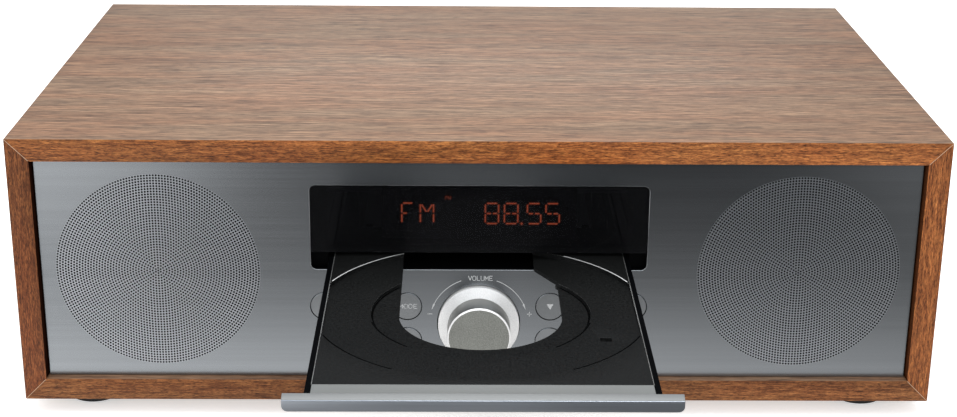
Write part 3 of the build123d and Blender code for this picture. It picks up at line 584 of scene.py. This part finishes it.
def pierced_sheet(name, outline, openings, y_front, y_back, rim, wall, metal_face):
    """A flat sheet in the plate's plane, with real openings and walls through its thickness.

    An opening is a loop of points, or a pair of loops: where a rim's chamfer starts and where it ends.
    """
    points = [Vector(p) / MM for p in outline]
    inner = list(points)
    loops = [list(range(len(points)))]
    for opening in openings:
        outer_loop, inner_loop = opening if isinstance(opening, tuple) else (opening, opening)
        first = len(points)
        points += [Vector(p) / MM for p in outer_loop]
        inner += [Vector(p) / MM for p in inner_loop]
        loops.append(list(range(first, len(points))))
    places, _, faces, sources, _, origins = delaunay_2d_cdt(points, [], loops, 0, 1e-5)
    kept = [face for face, origin in zip(faces, origins) if origin == [0]]
    count = len(places)
    inner_places = [inner[source[0]] if source else place for place, source in zip(places, sources)]
    verts = [(p.x * MM, y_front, p.y * MM) for p in places]
    verts += [(p.x * MM, y_back, p.y * MM) for p in inner_places]
    sides = {}
    solid = []
    for face in kept:
        solid.append(tuple(face))
        solid.append(tuple(count + i for i in reversed(face)))
        for a, b in zip(face, face[1:] + face[:1]):
            if (b, a) in sides:
                del sides[(b, a)]
            else:
                sides[(a, b)] = True
    middle = {}
    for a, b in sides:
        if (inner_places[a] - places[a]).length < 1e-4:
            solid.append((b, a, count + a, count + b))
            continue
        for i in (a, b):
            if i not in middle:
                middle[i] = len(verts)
                verts.append((inner_places[i].x * MM, y_front + rim, inner_places[i].y * MM))
        solid.append((b, a, middle[a], middle[b]))
        solid.append((middle[b], middle[a], count + a, count + b))
    mesh = bpy.data.meshes.new(name)
    mesh.from_pydata(verts, [], solid)
    for finish in (metal_face, wall, plate_edge):
        mesh.materials.append(finish)
    for face in mesh.polygons:
        tilt = abs(face.normal.y)
        face.material_index = 0 if tilt > 0.9 else 1 if tilt < 0.1 else 2
    face_outwards(mesh)
    mesh.validate()
    return mesh


def lathe(name, profile, centre, segments=160):
    """Outline of (radius, depth) points in metres turned about the front-to-back axis at a centre."""
    verts, faces, rings = [], [], []
    for radius, y in profile:
        if radius == 0:
            rings.append([len(verts)])
            verts.append((centre.x, y, centre.z))
            continue
        rings.append(list(range(len(verts), len(verts) + segments)))
        for i in range(segments):
            angle = 2 * pi * i / segments
            verts.append((centre.x + radius * cos(angle), y, centre.z + radius * sin(angle)))
    for ring_a, ring_b in zip(rings, rings[1:]):
        for i in range(segments):
            j = (i + 1) % segments
            if len(ring_a) == 1:
                faces.append((ring_a[0], ring_b[j], ring_b[i]))
            elif len(ring_b) == 1:
                faces.append((ring_a[i], ring_a[j], ring_b[0]))
            else:
                faces.append((ring_a[i], ring_a[j], ring_b[j], ring_b[i]))
    mesh = bpy.data.meshes.new(name)
    mesh.from_pydata(verts, [], faces)
    face_outwards(mesh)
    return mesh


def smooth(mesh, angle):
    """Smooth shading with creases at sharp edges."""
    for face in mesh.polygons:
        face.use_smooth = True
    mesh.set_sharp_from_angle(angle=radians(angle))


# ------------------------ cabinet
def cabinet():
    """The four boards, with softened edges, banded fronts, and painted shade on the inner faces round the
    faceplate of every board but the bottom one.
    """
    middle_z = (cabinet_top_z + underside_z) / 2
    for side, outer_wood, reveal_wood in (
        ("top", "top", "reveal"), ("bottom", "bottom", "bottom"),
        ("left", "side", "reveal_left"), ("right", "side", "reveal"),
    ):
        mesh = refine("cabinet_" + side, 0.35 * MM).data
        mesh.materials.clear()
        for kind in (outer_wood, "front_" + side, reveal_wood):
            mesh.materials.append(wood[kind])
        middle = centre_of("cabinet_" + side) - Vector((0, 0, middle_z))
        for face in mesh.polygons:
            inward = -(face.normal.x * middle.x + face.normal.z * middle.z)
            if abs(face.normal.y) > 0.8:
                face.material_index = 1
            # Inner faces round the faceplate take painted shade, except on the bottom board, which keeps
            # its own wood.
            elif inward > 0.6 * middle.xz.length:
                face.material_index = 2
            else:
                face.material_index = 0
    mitre_lines()


def mitre_lines():
    """Thin light glue lines along the four mitre joints of the front."""
    side_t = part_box("cabinet_left")[1].x + half_w
    width, proud, depth = 0.19 * MM, 0.02 * MM, 0.3 * MM
    work = bmesh.new()
    for x_sign in (-1, 1):
        for z_outer, inward in ((cabinet_top_z, -board_t), (underside_z, board_t)):
            outer = Vector((x_sign * half_w, z_outer))
            inner = Vector((x_sign * (half_w - side_t), z_outer + inward))
            trim = (inner - outer).normalized() * 0.4 * MM
            stroke(work, [outer + trim, inner - trim], width, front_y - proud, front_y + depth)
    piece_of(work, "mitre_lines", joint_line, "cabinet_top", "walnut")


# ------------------------ faceplate
RING_PITCH = 1.088 * MM
RINGS = 36
HOLE_R = 0.41 * MM
FIELD_R = 39.7 * MM
FIELD_POINTS = 216
cloth_low, cloth_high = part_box("grille_cloths")
field_x = cloth_high.x - CLOTH_R
field_z = (cloth_low.z + cloth_high.z) / 2


def field_holes(x, z):
    """Round holes of a speaker field: a middle one and rings that grow by six holes each."""
    loops = [circle(x, z, HOLE_R, 8)]
    for ring in range(1, RINGS + 1):
        for hole in range(6 * ring):
            angle = 2 * pi * hole / (6 * ring) + pi / 6
            radius = ring * RING_PITCH
            loops.append(circle(x + radius * cos(angle), z + radius * sin(angle), HOLE_R, 8, pi / 8))
    return loops


def faceplate():
    """The brushed sheet and its two perforated fields."""
    rim = 0.15 * MM
    corner = 2.4 * MM
    openings = [(
        rounded_rectangle(
            -WINDOW_HALF_W - rim, WINDOW_HALF_W + rim, WINDOW_BOTTOM - rim, WINDOW_TOP + rim, corner + rim,
        ),
        rounded_rectangle(-WINDOW_HALF_W, WINDOW_HALF_W, WINDOW_BOTTOM, WINDOW_TOP, corner),
    )]
    knob = centre_of("volume_knob")
    openings.append(circle(knob.x, knob.z, KNOB_HOLE_R, 128))
    for name in button_nodes():
        middle = centre_of(name)
        openings.append(circle(middle.x, middle.z, BUTTON_HOLE_R, 64))
    for x in (-field_x, field_x):
        openings.append(circle(x, field_z, FIELD_R, FIELD_POINTS))
    outline = [
        (plate_low.x, plate_low.z), (plate_high.x, plate_low.z),
        (plate_high.x, plate_high.z), (plate_low.x, plate_high.z),
    ]
    sheet = pierced_sheet(
        "faceplate_sheet", outline, openings, plate_y, plate_back_y, rim, plate_metal, plate_metal,
    )
    body = body_of("faceplate")
    piece_from("faceplate_sheet", sheet, body, "brushed_aluminium", "faceplate")
    # The speaker holes' walls are painted near-black as shade.
    field = pierced_sheet(
        "speaker_field", circle(0, field_z, FIELD_R, FIELD_POINTS), field_holes(0, field_z),
        plate_y, plate_back_y, 0.0, shaded_hole_wall, field_metal,
    )
    for side, x in (("left", -field_x), ("right", field_x)):
        mesh = field.copy()
        mesh.transform(Matrix.Translation((x, 0, 0)))
        piece_from("speaker_field_" + side, mesh, body, "brushed_aluminium")


# ------------------------ knob
def volume_knob():
    """The turned knob, with a polished edge round its face whose highlight is painted in near-white, and a
    flared skirt of turned metal whose bright reflection is partly painted in as a pale matt colour.
    """
    middle = centre_of("volume_knob")
    y0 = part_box("volume_knob")[0].y
    profile = [
        (0, 0), (11.74, 0), (11.80, 0.03), (12.25, 0.52), (12.3, 0.62), (12.3, 10.3),
        (12.42, 10.5), (15.86, 12.34), (16.0, 12.55), (16.0, 17.3), (14.7, 17.3), (14.7, 13.7),
        (10.9, 11.6), (10.9, 2.5), (5.4, 2.5), (5.4, 17.3), (2.96, 17.3), (2.96, 1.7), (0, 1.7),
    ]
    mesh = lathe("volume_knob_turned", [(r * MM, y0 + d * MM) for r, d in profile], middle)
    for finish in (knob_side, knob_face, polished_edge_highlight, knob_skirt_sheen):
        mesh.materials.append(finish)
    for face in mesh.polygons:
        spot = face.center
        radius = hypot(spot.x - middle.x, spot.z - middle.z)
        depth = (spot.y - y0) / MM
        if depth < 0.01:
            face.material_index = 1
        elif depth < 0.6 and radius > 11 * MM:
            face.material_index = 2
        elif radius > 12.35 * MM:
            face.material_index = 3
    smooth(mesh, 20)
    piece_from("volume_knob_turned", mesh, body_of("volume_knob"), "knob_aluminium", "volume_knob")


# ------------------------ prints and display
def stroke(work, points, width, y_front, y_back):
    """A flat line of a width along points (x, z), as closed prisms from y_front to y_back."""
    left, right = [], []
    for i, (x, z) in enumerate(points):
        ahead = points[min(i + 1, len(points) - 1)]
        behind = points[max(i - 1, 0)]
        direction = Vector((ahead[0] - behind[0], ahead[1] - behind[1])).normalized()
        side = Vector((-direction.y, direction.x)) * width / 2
        left.append((x + side.x, z + side.y))
        right.append((x - side.x, z - side.y))
    for i in range(len(points) - 1):
        prism(work, [left[i], left[i + 1], right[i + 1], right[i]], y_front, y_back)


def band(work, a, b):
    """Faces between two closed loops with the same number of points."""
    for i in range(len(a)):
        j = (i + 1) % len(a)
        work.faces.new((a[i], a[j], b[j], b[i]))


def prism(work, outline, y_front, y_back):
    """A closed prism from a flat outline of (x, z) points."""
    front = [work.verts.new((x, y_front, z)) for x, z in outline]
    back = [work.verts.new((x, y_back, z)) for x, z in outline]
    work.faces.new(front)
    work.faces.new(list(reversed(back)))
    band(work, back, front)


def piece_of(work, name, material, node, slot, *replaced):
    """A visible piece of one material made of a work mesh, riding with a CAD node."""
    bmesh.ops.recalc_face_normals(work, faces=work.faces)
    mesh = bpy.data.meshes.new(name)
    work.to_mesh(mesh)
    work.free()
    mesh.materials.append(material)
    return piece_from(name, mesh, body_of(node), slot, *replaced)


# Strokes of the capitals used as labels, on a grid 2 wide and 3 high.
LETTERS = {
    "V": [[(0, 3), (1, 0), (2, 3)]],
    "O": [[(0.5, 0), (0, 0.6), (0, 2.4), (0.5, 3), (1.5, 3), (2, 2.4), (2, 0.6), (1.5, 0), (0.5, 0)]],
    "L": [[(0.2, 3), (0.2, 0), (1.9, 0)]],
    "U": [[(0, 3), (0, 0.6), (0.5, 0), (1.5, 0), (2, 0.6), (2, 3)]],
    "M": [[(0, 0), (0, 3), (1, 0.9), (2, 3), (2, 0)]],
    "E": [[(1.9, 3), (0.1, 3), (0.1, 0), (1.9, 0)], [(0.1, 1.5), (1.6, 1.5)]],
    "D": [[(0.1, 0), (0.1, 3), (1.2, 3), (2, 2.2), (2, 0.8), (1.2, 0), (0.1, 0)]],
    "S": [[
        (2, 2.5), (1.5, 3), (0.5, 3), (0, 2.5), (0, 1.9), (2, 1.1), (2, 0.5), (1.5, 0), (0.5, 0), (0, 0.5),
    ]],
    "R": [
        [(0.1, 0), (0.1, 3), (1.4, 3), (2, 2.5), (2, 1.9), (1.4, 1.5), (0.1, 1.5)],
        [(1.1, 1.5), (2, 0)],
    ],
    "C": [[(2, 2.4), (1.5, 3), (0.5, 3), (0, 2.4), (0, 0.6), (0.5, 0), (1.5, 0), (2, 0.6)]],
    "P": [[(0.1, 0), (0.1, 3), (1.4, 3), (2, 2.5), (2, 1.9), (1.4, 1.4), (0.1, 1.4)]],
}
INK = 0.00004
LABEL_H = 1.82 * MM


def word(work, text, x, z, tall, y_front, y_back, wide=1.0):
    """A word in capitals, centred on (x, z); wide stretches it sideways."""
    unit = tall / 3
    step = 2.63 * unit * wide
    start = x - (step * len(text) - 0.63 * unit * wide) / 2
    for index, letter in enumerate(text):
        for line in LETTERS[letter]:
            corner = Vector((start + index * step, z - tall / 2))
            points = [corner + Vector((px * wide, pz)) * unit for px, pz in line]
            for a, b in zip(points, points[1:]):
                over = (b - a).normalized() * 0.04 * tall
                stroke(work, [a - over, b + over], 0.125 * tall, y_front, y_back)


def plate_prints():
    """The volume scale round the knob, printed on the faceplate."""
    middle = centre_of("volume_knob")
    front, back = plate_y - INK, plate_y - INK * 0.1
    work = bmesh.new()
    word(work, "VOLUME", middle.x + 0.6 * MM, height(51.2), LABEL_H, front, back, 1.02)
    radius, half_head = 19.4 * MM, 0.36 * MM
    # Angles above the level of the knob's axis: the arrow's tip and tail, and the far end of the arc.
    tip, tail, start = 17, 25, 69

    def on_arc(side, angle, out=0.0):
        reach = radius + out
        return middle.x + side * reach * cos(radians(angle)), middle.z + reach * sin(radians(angle))

    steps = 24
    for side in (-1, 1):
        arc = [on_arc(side, start - (start - tail) * i / steps) for i in range(steps + 1)]
        stroke(work, arc, 0.24 * MM, front, back)
        head = [on_arc(side, tip), on_arc(side, tail, half_head), on_arc(side, tail, -half_head)]
        prism(work, head, front, back)
    minus_x, plus_x, sign_z = -19.25 * MM, 20.0 * MM, height(36.0)
    reach, width = 0.95 * MM, 0.28 * MM
    for x in (minus_x, plus_x):
        stroke(work, [(x - reach, sign_z), (x + reach, sign_z)], width, front, back)
    stroke(work, [(plus_x, sign_z - reach), (plus_x, sign_z + reach)], width, front, back)
    piece_of(work, "volume_print", print_ink, "faceplate", "brushed_aluminium")


def triangle(work, x, z, reach, turn, front, back):
    """A filled triangle that points down, turned by an angle."""
    points = []
    for angle in (-90, 30, 150):
        a = radians(angle + turn)
        points.append((x + reach * cos(a), z + reach * sin(a)))
    prism(work, points, front, back)


# The open ring of the power symbol, in mm.
POWER_ARC = [(1.35 * cos(radians(a)), 1.35 * sin(radians(a))) for a in range(-235, 56, 15)]
# Words on the buttons, with a shift to the right in mm.
BUTTON_WORDS = {"mode": ("MODE", 0.3), "source": ("SRC", 0.0)}

# Triangles on the buttons: x, z and reach in mm, and a turn from pointing down.
BUTTON_TRIANGLES = {
    "down": [(0, 0.3, 1.55, 0)],
    "up": [(0, 0, 1.55, 180)],
    "eject": [(0, 0.5, 1.55, 180)],
    "play": [(0, 0, 1.5, 90)],
    "previous": [(-0.9, 0, 1.05, -90), (0.9, 0, 1.05, -90)],
    "next": [(-0.9, 0, 1.05, 90), (0.9, 0, 1.05, 90)],
}

# Lines on the buttons: points in mm and a width in mm.
BUTTON_LINES = {
    "eject": [([(-1.3, -1.3), (1.3, -1.3)], 0.4)],
    "previous": [([(-2.0, -0.95), (-2.0, 0.95)], 0.3)],
    "next": [([(2.0, -0.95), (2.0, 0.95)], 0.3)],
    "power": [(POWER_ARC, 0.28), ([(0, 0.3), (0, 1.7)], 0.28)],
}


def button_labels():
    """A short generic label or symbol on each button, which rides with it."""
    for name in button_nodes():
        middle = centre_of(name)
        face_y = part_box(name)[0].y
        front, back = face_y - INK * 0.5, face_y + INK * 0.2
        x, z = middle.x, middle.z
        work = bmesh.new()
        kind = name[len("button_"):]
        if kind in BUTTON_WORDS:
            text, shift = BUTTON_WORDS[kind]
            word(work, text, x + shift * MM, z, LABEL_H * 0.96, front, back, 1.22)
        if kind == "stop":
            half = 1.1 * MM
            square = rounded_rectangle(x - half, x + half, z - half, z + half, 0.1 * MM, 2)
            prism(work, square, front, back)
        for px, pz, reach, turn in BUTTON_TRIANGLES.get(kind, ()):
            triangle(work, x + px * MM, z + pz * MM, reach * MM, turn, front, back)
        for points, width in BUTTON_LINES.get(kind, ()):
            line = [(x + px * MM, z + pz * MM) for px, pz in points]
            stroke(work, line, width * MM, front, back)
        piece_of(work, "label_" + kind, print_ink, name, "button_aluminium")


# Segments of one display character, on a grid 2 wide and 4 high.
SEGMENTS = {
    "top": [(0.22, 4), (1.78, 4)],
    "upper_left": [(0, 3.78), (0, 2.16)],
    "upper_right": [(2, 3.78), (2, 2.16)],
    "middle_left": [(0.2, 2), (0.86, 2)],
    "middle_right": [(1.14, 2), (1.8, 2)],
    "lower_left": [(0, 1.84), (0, 0.22)],
    "lower_right": [(2, 1.84), (2, 0.22)],
    "bottom": [(0.22, 0), (1.78, 0)],
    "slant_left": [(0.2, 3.7), (0.9, 2.3)],
    "slant_right": [(1.8, 3.7), (1.1, 2.3)],
}
# Segments that each figure lights.
FIGURES = {
    "8": list(SEGMENTS)[:8],
    "5": ["top", "upper_left", "middle_left", "middle_right", "lower_right", "bottom"],
    "F": ["top", "upper_left", "middle_left", "lower_left"],
    "M": ["upper_left", "upper_right", "lower_left", "lower_right", "slant_left", "slant_right"],
}
# Characters of the display, with their left and right ends in mm from the middle.
SHOWN = (
    ("F", -30.1, -25.5), ("M", -22.9, -17.8), ("8", 2.3, 7.4), ("8", 9.7, 14.9),
    ("5", 18.6, 23.8), ("5", 25.8, 31.0),
)
POINT_X = 16.4 * MM


def display():
    """The band and frequency, lit behind the smoked window."""
    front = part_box("display_window")[1].y + 0.35 * MM
    thickness = 0.1 * MM
    low, high = height(72.9), height(81.2)
    for name, finish, width, depth in (
        ("display_segments", lit, 0.60 * MM, 0.0), ("display_halo", lit_halo, 1.5 * MM, 0.15 * MM),
    ):
        y0, y1 = front + depth, front + depth + thickness
        work = bmesh.new()
        for figure, left, right in SHOWN:
            wide = (right - left) * MM / 2
            tall = (high - low) / 4
            for segment in FIGURES[figure]:
                points = [(left * MM + px * wide, low + pz * tall) for px, pz in SEGMENTS[segment]]
                stroke(work, points, width, y0, y1)
        prism(work, circle(POINT_X, low, width * 0.8, 10), y0, y1)
        piece_of(work, name, finish, "display_module", "display_glass")
    work = bmesh.new()
    word(work, "PM", -12.2 * MM, height(83.4), 1.4 * MM, front, front + thickness)
    piece_of(work, "display_indicator", lit_faint, "display_module", "display_glass")


# ------------------------ tray
def ring_part(work, middle, inner, outer, start, end, z_low, z_high, steps=48):
    """A flat closed strip along part of a circle, from a start to an end angle in degrees."""
    sections = []
    for i in range(steps + 1):
        angle = radians(start + (end - start) * i / steps)
        sections.append([
            work.verts.new((middle.x + r * cos(angle), middle.y + r * sin(angle), z))
            for r, z in ((inner, z_low), (outer, z_low), (outer, z_high), (inner, z_high))
        ])
    for a, b in zip(sections, sections[1:]):
        band(work, a, b)
    work.faces.new(sections[0])
    work.faces.new(sections[-1])


def tray_lines():
    """Thin dark rings of painted shade at the edges of the recesses, painted highlights along the far rims
    of the big recess, and painted highlights along the tray's sides.
    """
    low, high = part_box("disc_tray")
    face, recess, small_recess = high.z, high.z - DISC_RECESS, high.z - SMALL_DISC_RECESS
    sunk, proud = 0.02 * MM, 0.03 * MM
    work = bmesh.new()
    for z, middle_r, inner, outer, start, end in (
        (small_recess, SMALL_DISC_R, -0.85, -0.10, -64, 40),
        (recess, SMALL_DISC_R, 0.05, 0.65, -50, -14),
        (face, DISC_R, 0.0, 0.55, -60, -24),
    ):
        for first, last in ((start, end), (180 - end, 180 - start)):
            inner_r, outer_r = middle_r + inner * MM, middle_r + outer * MM
            ring_part(work, DISC_CENTRE, inner_r, outer_r, first, last, z - sunk, z + proud)
    piece_of(work, "tray_shade_rings", tray_painted_shade, "disc_tray", "tray_plastic")

    work = bmesh.new()
    for start, end in ((24, 57), (119, 156)):
        inner_r, outer_r = DISC_R - 0.05 * MM, DISC_R + 0.45 * MM
        ring_part(work, DISC_CENTRE, inner_r, outer_r, start, end, face - sunk, face + proud)
    piece_of(work, "tray_rim_highlights", tray_highlight, "disc_tray", "tray_plastic")

    work = bmesh.new()
    rail_top = face - RAIL_DROP
    rail_x = high.x - RAIL_W
    bottom, top = rail_top - sunk, rail_top + proud
    for side in (-1, 1):
        x0, x1 = side * (rail_x + 0.04 * MM), side * (rail_x + 0.32 * MM)
        outline = [(x0, bottom), (x1, bottom), (x1, top), (x0, top)]
        prism(work, outline, low.y + 8 * MM, high.y - 1 * MM)
    piece_of(work, "tray_side_highlights", tray_dim_highlight, "disc_tray", "tray_plastic")


# ------------------------ rear screws
def separate_boxes(mesh):
    """The boxes, as low and high corners, of the separate solids in a mesh."""
    work = bmesh.new()
    work.from_mesh(mesh)
    bmesh.ops.remove_doubles(work, verts=work.verts, dist=1e-6)
    seen = set()
    boxes = []
    for vert in work.verts:
        if vert in seen:
            continue
        seen.add(vert)
        group = [vert]
        for member in group:
            for edge in member.link_edges:
                other = edge.other_vert(member)
                if other not in seen:
                    seen.add(other)
                    group.append(other)
        low = Vector([min(v.co[i] for v in group) for i in range(3)])
        high = Vector([max(v.co[i] for v in group) for i in range(3)])
        boxes.append((low, high))
    work.free()
    return boxes


def cross_head(work, middle, radius, crown):
    """One pan head with a cross recess; its crown is the Y of its outermost point."""
    count = 48
    drop = 1.8 * MM
    dome, inset, dome_steps = 1.2 * MM, 1.1 * MM, 5
    shoulder = crown - dome
    steps = [(radius, crown - drop), (radius, shoulder)]
    for i in range(1, dome_steps):
        angle = pi / 2 * i / dome_steps
        steps.append((radius - inset * (1 - cos(angle)), shoulder + dome * sin(angle)))
    rings = [
        [work.verts.new((x, y, z)) for x, z in circle(middle.x, middle.z, r, count)] for r, y in steps
    ]
    for a, b in zip(rings, rings[1:]):
        band(work, a, b)
    work.faces.new(rings[0])

    arm, slot, floor = 1.35 * MM, 0.3 * MM, crown - 1.1 * MM
    cross = []
    for quarter in range(4):
        a = pi / 2 * quarter
        for along, aside in ((arm, -slot), (arm, slot), (slot, slot)):
            cross.append((along * cos(a) - aside * sin(a), along * sin(a) + aside * cos(a)))
    rim = [work.verts.new((middle.x + x, crown, middle.z + z)) for x, z in cross]
    base = [work.verts.new((middle.x + x * 0.6, floor, middle.z + z * 0.6)) for x, z in cross]
    work.faces.new(base)
    band(work, rim, base)
    edges = []
    for loop in (rings[-1], rim):
        edges += [work.edges.get(pair) for pair in zip(loop, loop[1:] + loop[:1])]
    bmesh.ops.triangle_fill(work, edges=edges, use_beauty=True)


def rear_screws():
    """Pan-head screws with a cross recess, in the place of the plain ones."""
    work = bmesh.new()
    for low, high in separate_boxes(frame["nodes"]["screws"].data):
        cross_head(work, (low + high) / 2, (high.x - low.x) / 2, high.y)
    piece = piece_of(work, "cross_screws", finishes["black_screw"], "screws", "black_screw", "screws")
    smooth(piece.data, 30)


# ------------------------ stage
def area_light(name, place, aim, size, power, colour=(1, 1, 1)):
    """A soft rectangular light at a place, aimed at a point."""
    data = bpy.data.lights.new(name, "AREA")
    data.shape = "RECTANGLE"
    data.size, data.size_y = size
    data.energy = power
    data.color = colour
    lamp = bpy.data.objects.new(name, data)
    lamp.location = place
    lamp.rotation_euler = (Vector(aim) - Vector(place)).to_track_quat("-Z", "Y").to_euler()
    show(lamp)


def flat_sheet(name, half_x, front, rear, material):
    """A flat sheet on the floor plane, staged and not a part of the object."""
    mesh = bpy.data.meshes.new(name)
    corners = [(-half_x, front, 0), (half_x, front, 0), (half_x, rear, 0), (-half_x, rear, 0)]
    mesh.from_pydata(corners, [], [(0, 1, 2, 3)])
    mesh.materials.append(material)
    sheet = bpy.data.objects.new(name, mesh)
    show(sheet)
    return sheet


def floor_material():
    """Matt white that glows a little, so that the floor is as pale as the backdrop."""
    material, tree, shader = new_material("pale_floor", Roughness=0.9, Specular_IOR_Level=0.1)
    tone = noise(tree, stretched(tree, (3, 3, 3)), 1.0, 2.0)
    pale = ramp(tree, tone, (0.3, 0.86), (0.7, 0.89))
    tree.links.new(pale, shader.inputs["Base Color"])
    shader.inputs["Emission Color"].default_value = (1.0, 1.0, 1.0, 1.0)
    shader.inputs["Emission Strength"].default_value = 0.49
    return material


def studio():
    """Pale floor, soft boxes and a world that is darker towards the horizon in reflections."""
    floor = flat_sheet("floor", 6.0, -6.0, 6.0, floor_material())
    floor.location.z = -0.0002
    floor.visible_glossy = False

    world = bpy.data.worlds.new("studio")
    bpy.context.scene.world = world
    world.use_nodes = True
    tree = world.node_tree
    background = tree.nodes["Background"]
    direction = add(tree, "TexCoord").outputs["Generated"]
    parts = add(tree, "SeparateXYZ", {"Vector": direction})
    above = add(tree, "MapRange", {
        "Value": parts.outputs["Z"], "From Min": 0.05, "From Max": 0.7, "To Min": 0.16, "To Max": 0.9,
    }).outputs["Result"]
    path = add(tree, "LightPath")
    glossy = add(tree, "Mix", {0: path.outputs["Is Glossy Ray"], 2: 0.95, 3: above})
    straight = add(tree, "Mix", {0: path.outputs["Is Camera Ray"], 2: glossy.outputs[0], 3: 1.0})
    tree.links.new(straight.outputs[0], background.inputs["Strength"])
    tint = mix(tree, path.outputs["Is Glossy Ray"], (0.97, 0.98, 1.0), (0.88, 0.97, 1.08))
    tree.links.new(tint, background.inputs["Color"])

    area_light("top_box", (0.0, 0.2, 1.5), (0, 0.05, 0.1), (1.6, 1.2), 14.5)
    area_light("back_box", (0.05, 2.0, 0.95), (0, 0.06, 0.1), (1.3, 0.8), 3.4, (1.0, 0.97, 0.90))
    area_light("left_box", (-1.2, -0.5, 0.9), (0, 0, 0.05), (0.8, 0.8), 3)
    area_light("front_fill", (0.3, -1.6, 0.9), (0, 0, 0.05), (1.2, 0.6), 6)
    reflector()


# Brightness of the reflector by distance from the front (0 to 0.4 m) and across (-0.3 to 0.3 m).
CARD_BASE = (
    (0.0, 1.66), (0.14, 1.33), (0.25, 0.72), (0.36, 0.31), (0.55, 0.11), (0.75, 0.03), (1.0, 0.015),
)
CARD_LEAN = ((0.0, 1.0), (0.5, 0.72), (1.0, 0.39))
CARD_LEFT = ((0.0, 0.0), (0.14, 0.2), (0.36, 0.6), (0.75, 1.4), (1.0, 1.5))
CARD_LEFT_SIDE = (
    (0.08, 1.0), (0.16, 0.86), (0.30, 0.16), (0.42, 0.07),
    (0.52, 0.11), (0.60, 0.0), (0.80, 0.0), (0.95, 0.20),
)


def reflector_material():
    """Light that fades away from the front and to the right, and rises again far out on the left."""
    material, tree, shader = new_material("reflector_glow", Base_Color=(0, 0, 0), Roughness=1.0)
    shader.inputs["Specular IOR Level"].default_value = 0.0
    spot = add(tree, "SeparateXYZ", {"Vector": add(tree, "TexCoord").outputs["Object"]})
    away = spread(tree, spot.outputs["Y"], 0.0, 1.0, front_y, front_y - 0.4)
    across = spread(tree, spot.outputs["X"], 0.0, 1.0, -0.3, 0.3)
    base = times(tree, ramp(tree, away, *CARD_BASE), ramp(tree, across, *CARD_LEAN))
    left = times(tree, ramp(tree, away, *CARD_LEFT), ramp(tree, across, *CARD_LEFT_SIDE))
    tree.links.new(mix(tree, 1.0, base, left, "ADD"), shader.inputs["Emission Color"])
    shader.inputs["Emission Strength"].default_value = 1.0
    return material


def reflector():
    """A card on the floor in front, seen only in the metal."""
    card = flat_sheet("reflector", 1.2, front_y - 1.2, front_y + 0.0005, reflector_material())
    for ray in ("camera", "diffuse", "shadow", "transmission", "volume_scatter"):
        setattr(card, "visible_" + ray, False)


def camera():
    """The camera: a little left of the middle, in front and above, looking down at the drawer."""
    data = bpy.data.cameras.new("camera")
    data.lens = 65.39
    data.sensor_width = 36.0
    data.clip_start = 0.01
    view = bpy.data.objects.new("camera", data)
    view.location = (-0.00907, front_y - 0.62650, underside_z + 0.30849)
    pitch, yaw, roll = radians(19.918), radians(0.786), radians(-0.503)
    ahead = Vector((sin(yaw) * cos(pitch), cos(yaw) * cos(pitch), -sin(pitch)))
    right = Vector((cos(yaw), -sin(yaw), 0))
    down = ahead.cross(right)
    across = cos(roll) * right + sin(roll) * down
    up = sin(roll) * right - cos(roll) * down
    view.rotation_euler = Matrix((across, up, -ahead)).transposed().to_euler()
    show(view)
    bpy.context.scene.camera = view


camera()
studio()
bpy.context.scene.view_settings.view_transform = "Standard"
dress_cad_nodes()
cabinet()
faceplate()
volume_knob()
plate_prints()
button_labels()
display()
refine("disc_tray", 0.30 * MM, 2, tray_faces)
refine("tray_bar", 0.18 * MM, 3, bar_faces)
tray_lines()
refine("feet", 0.40 * MM)
refine("rear_panel", 0.20 * MM)
refine("mains_inlet", 0.20 * MM)
rear_screws()
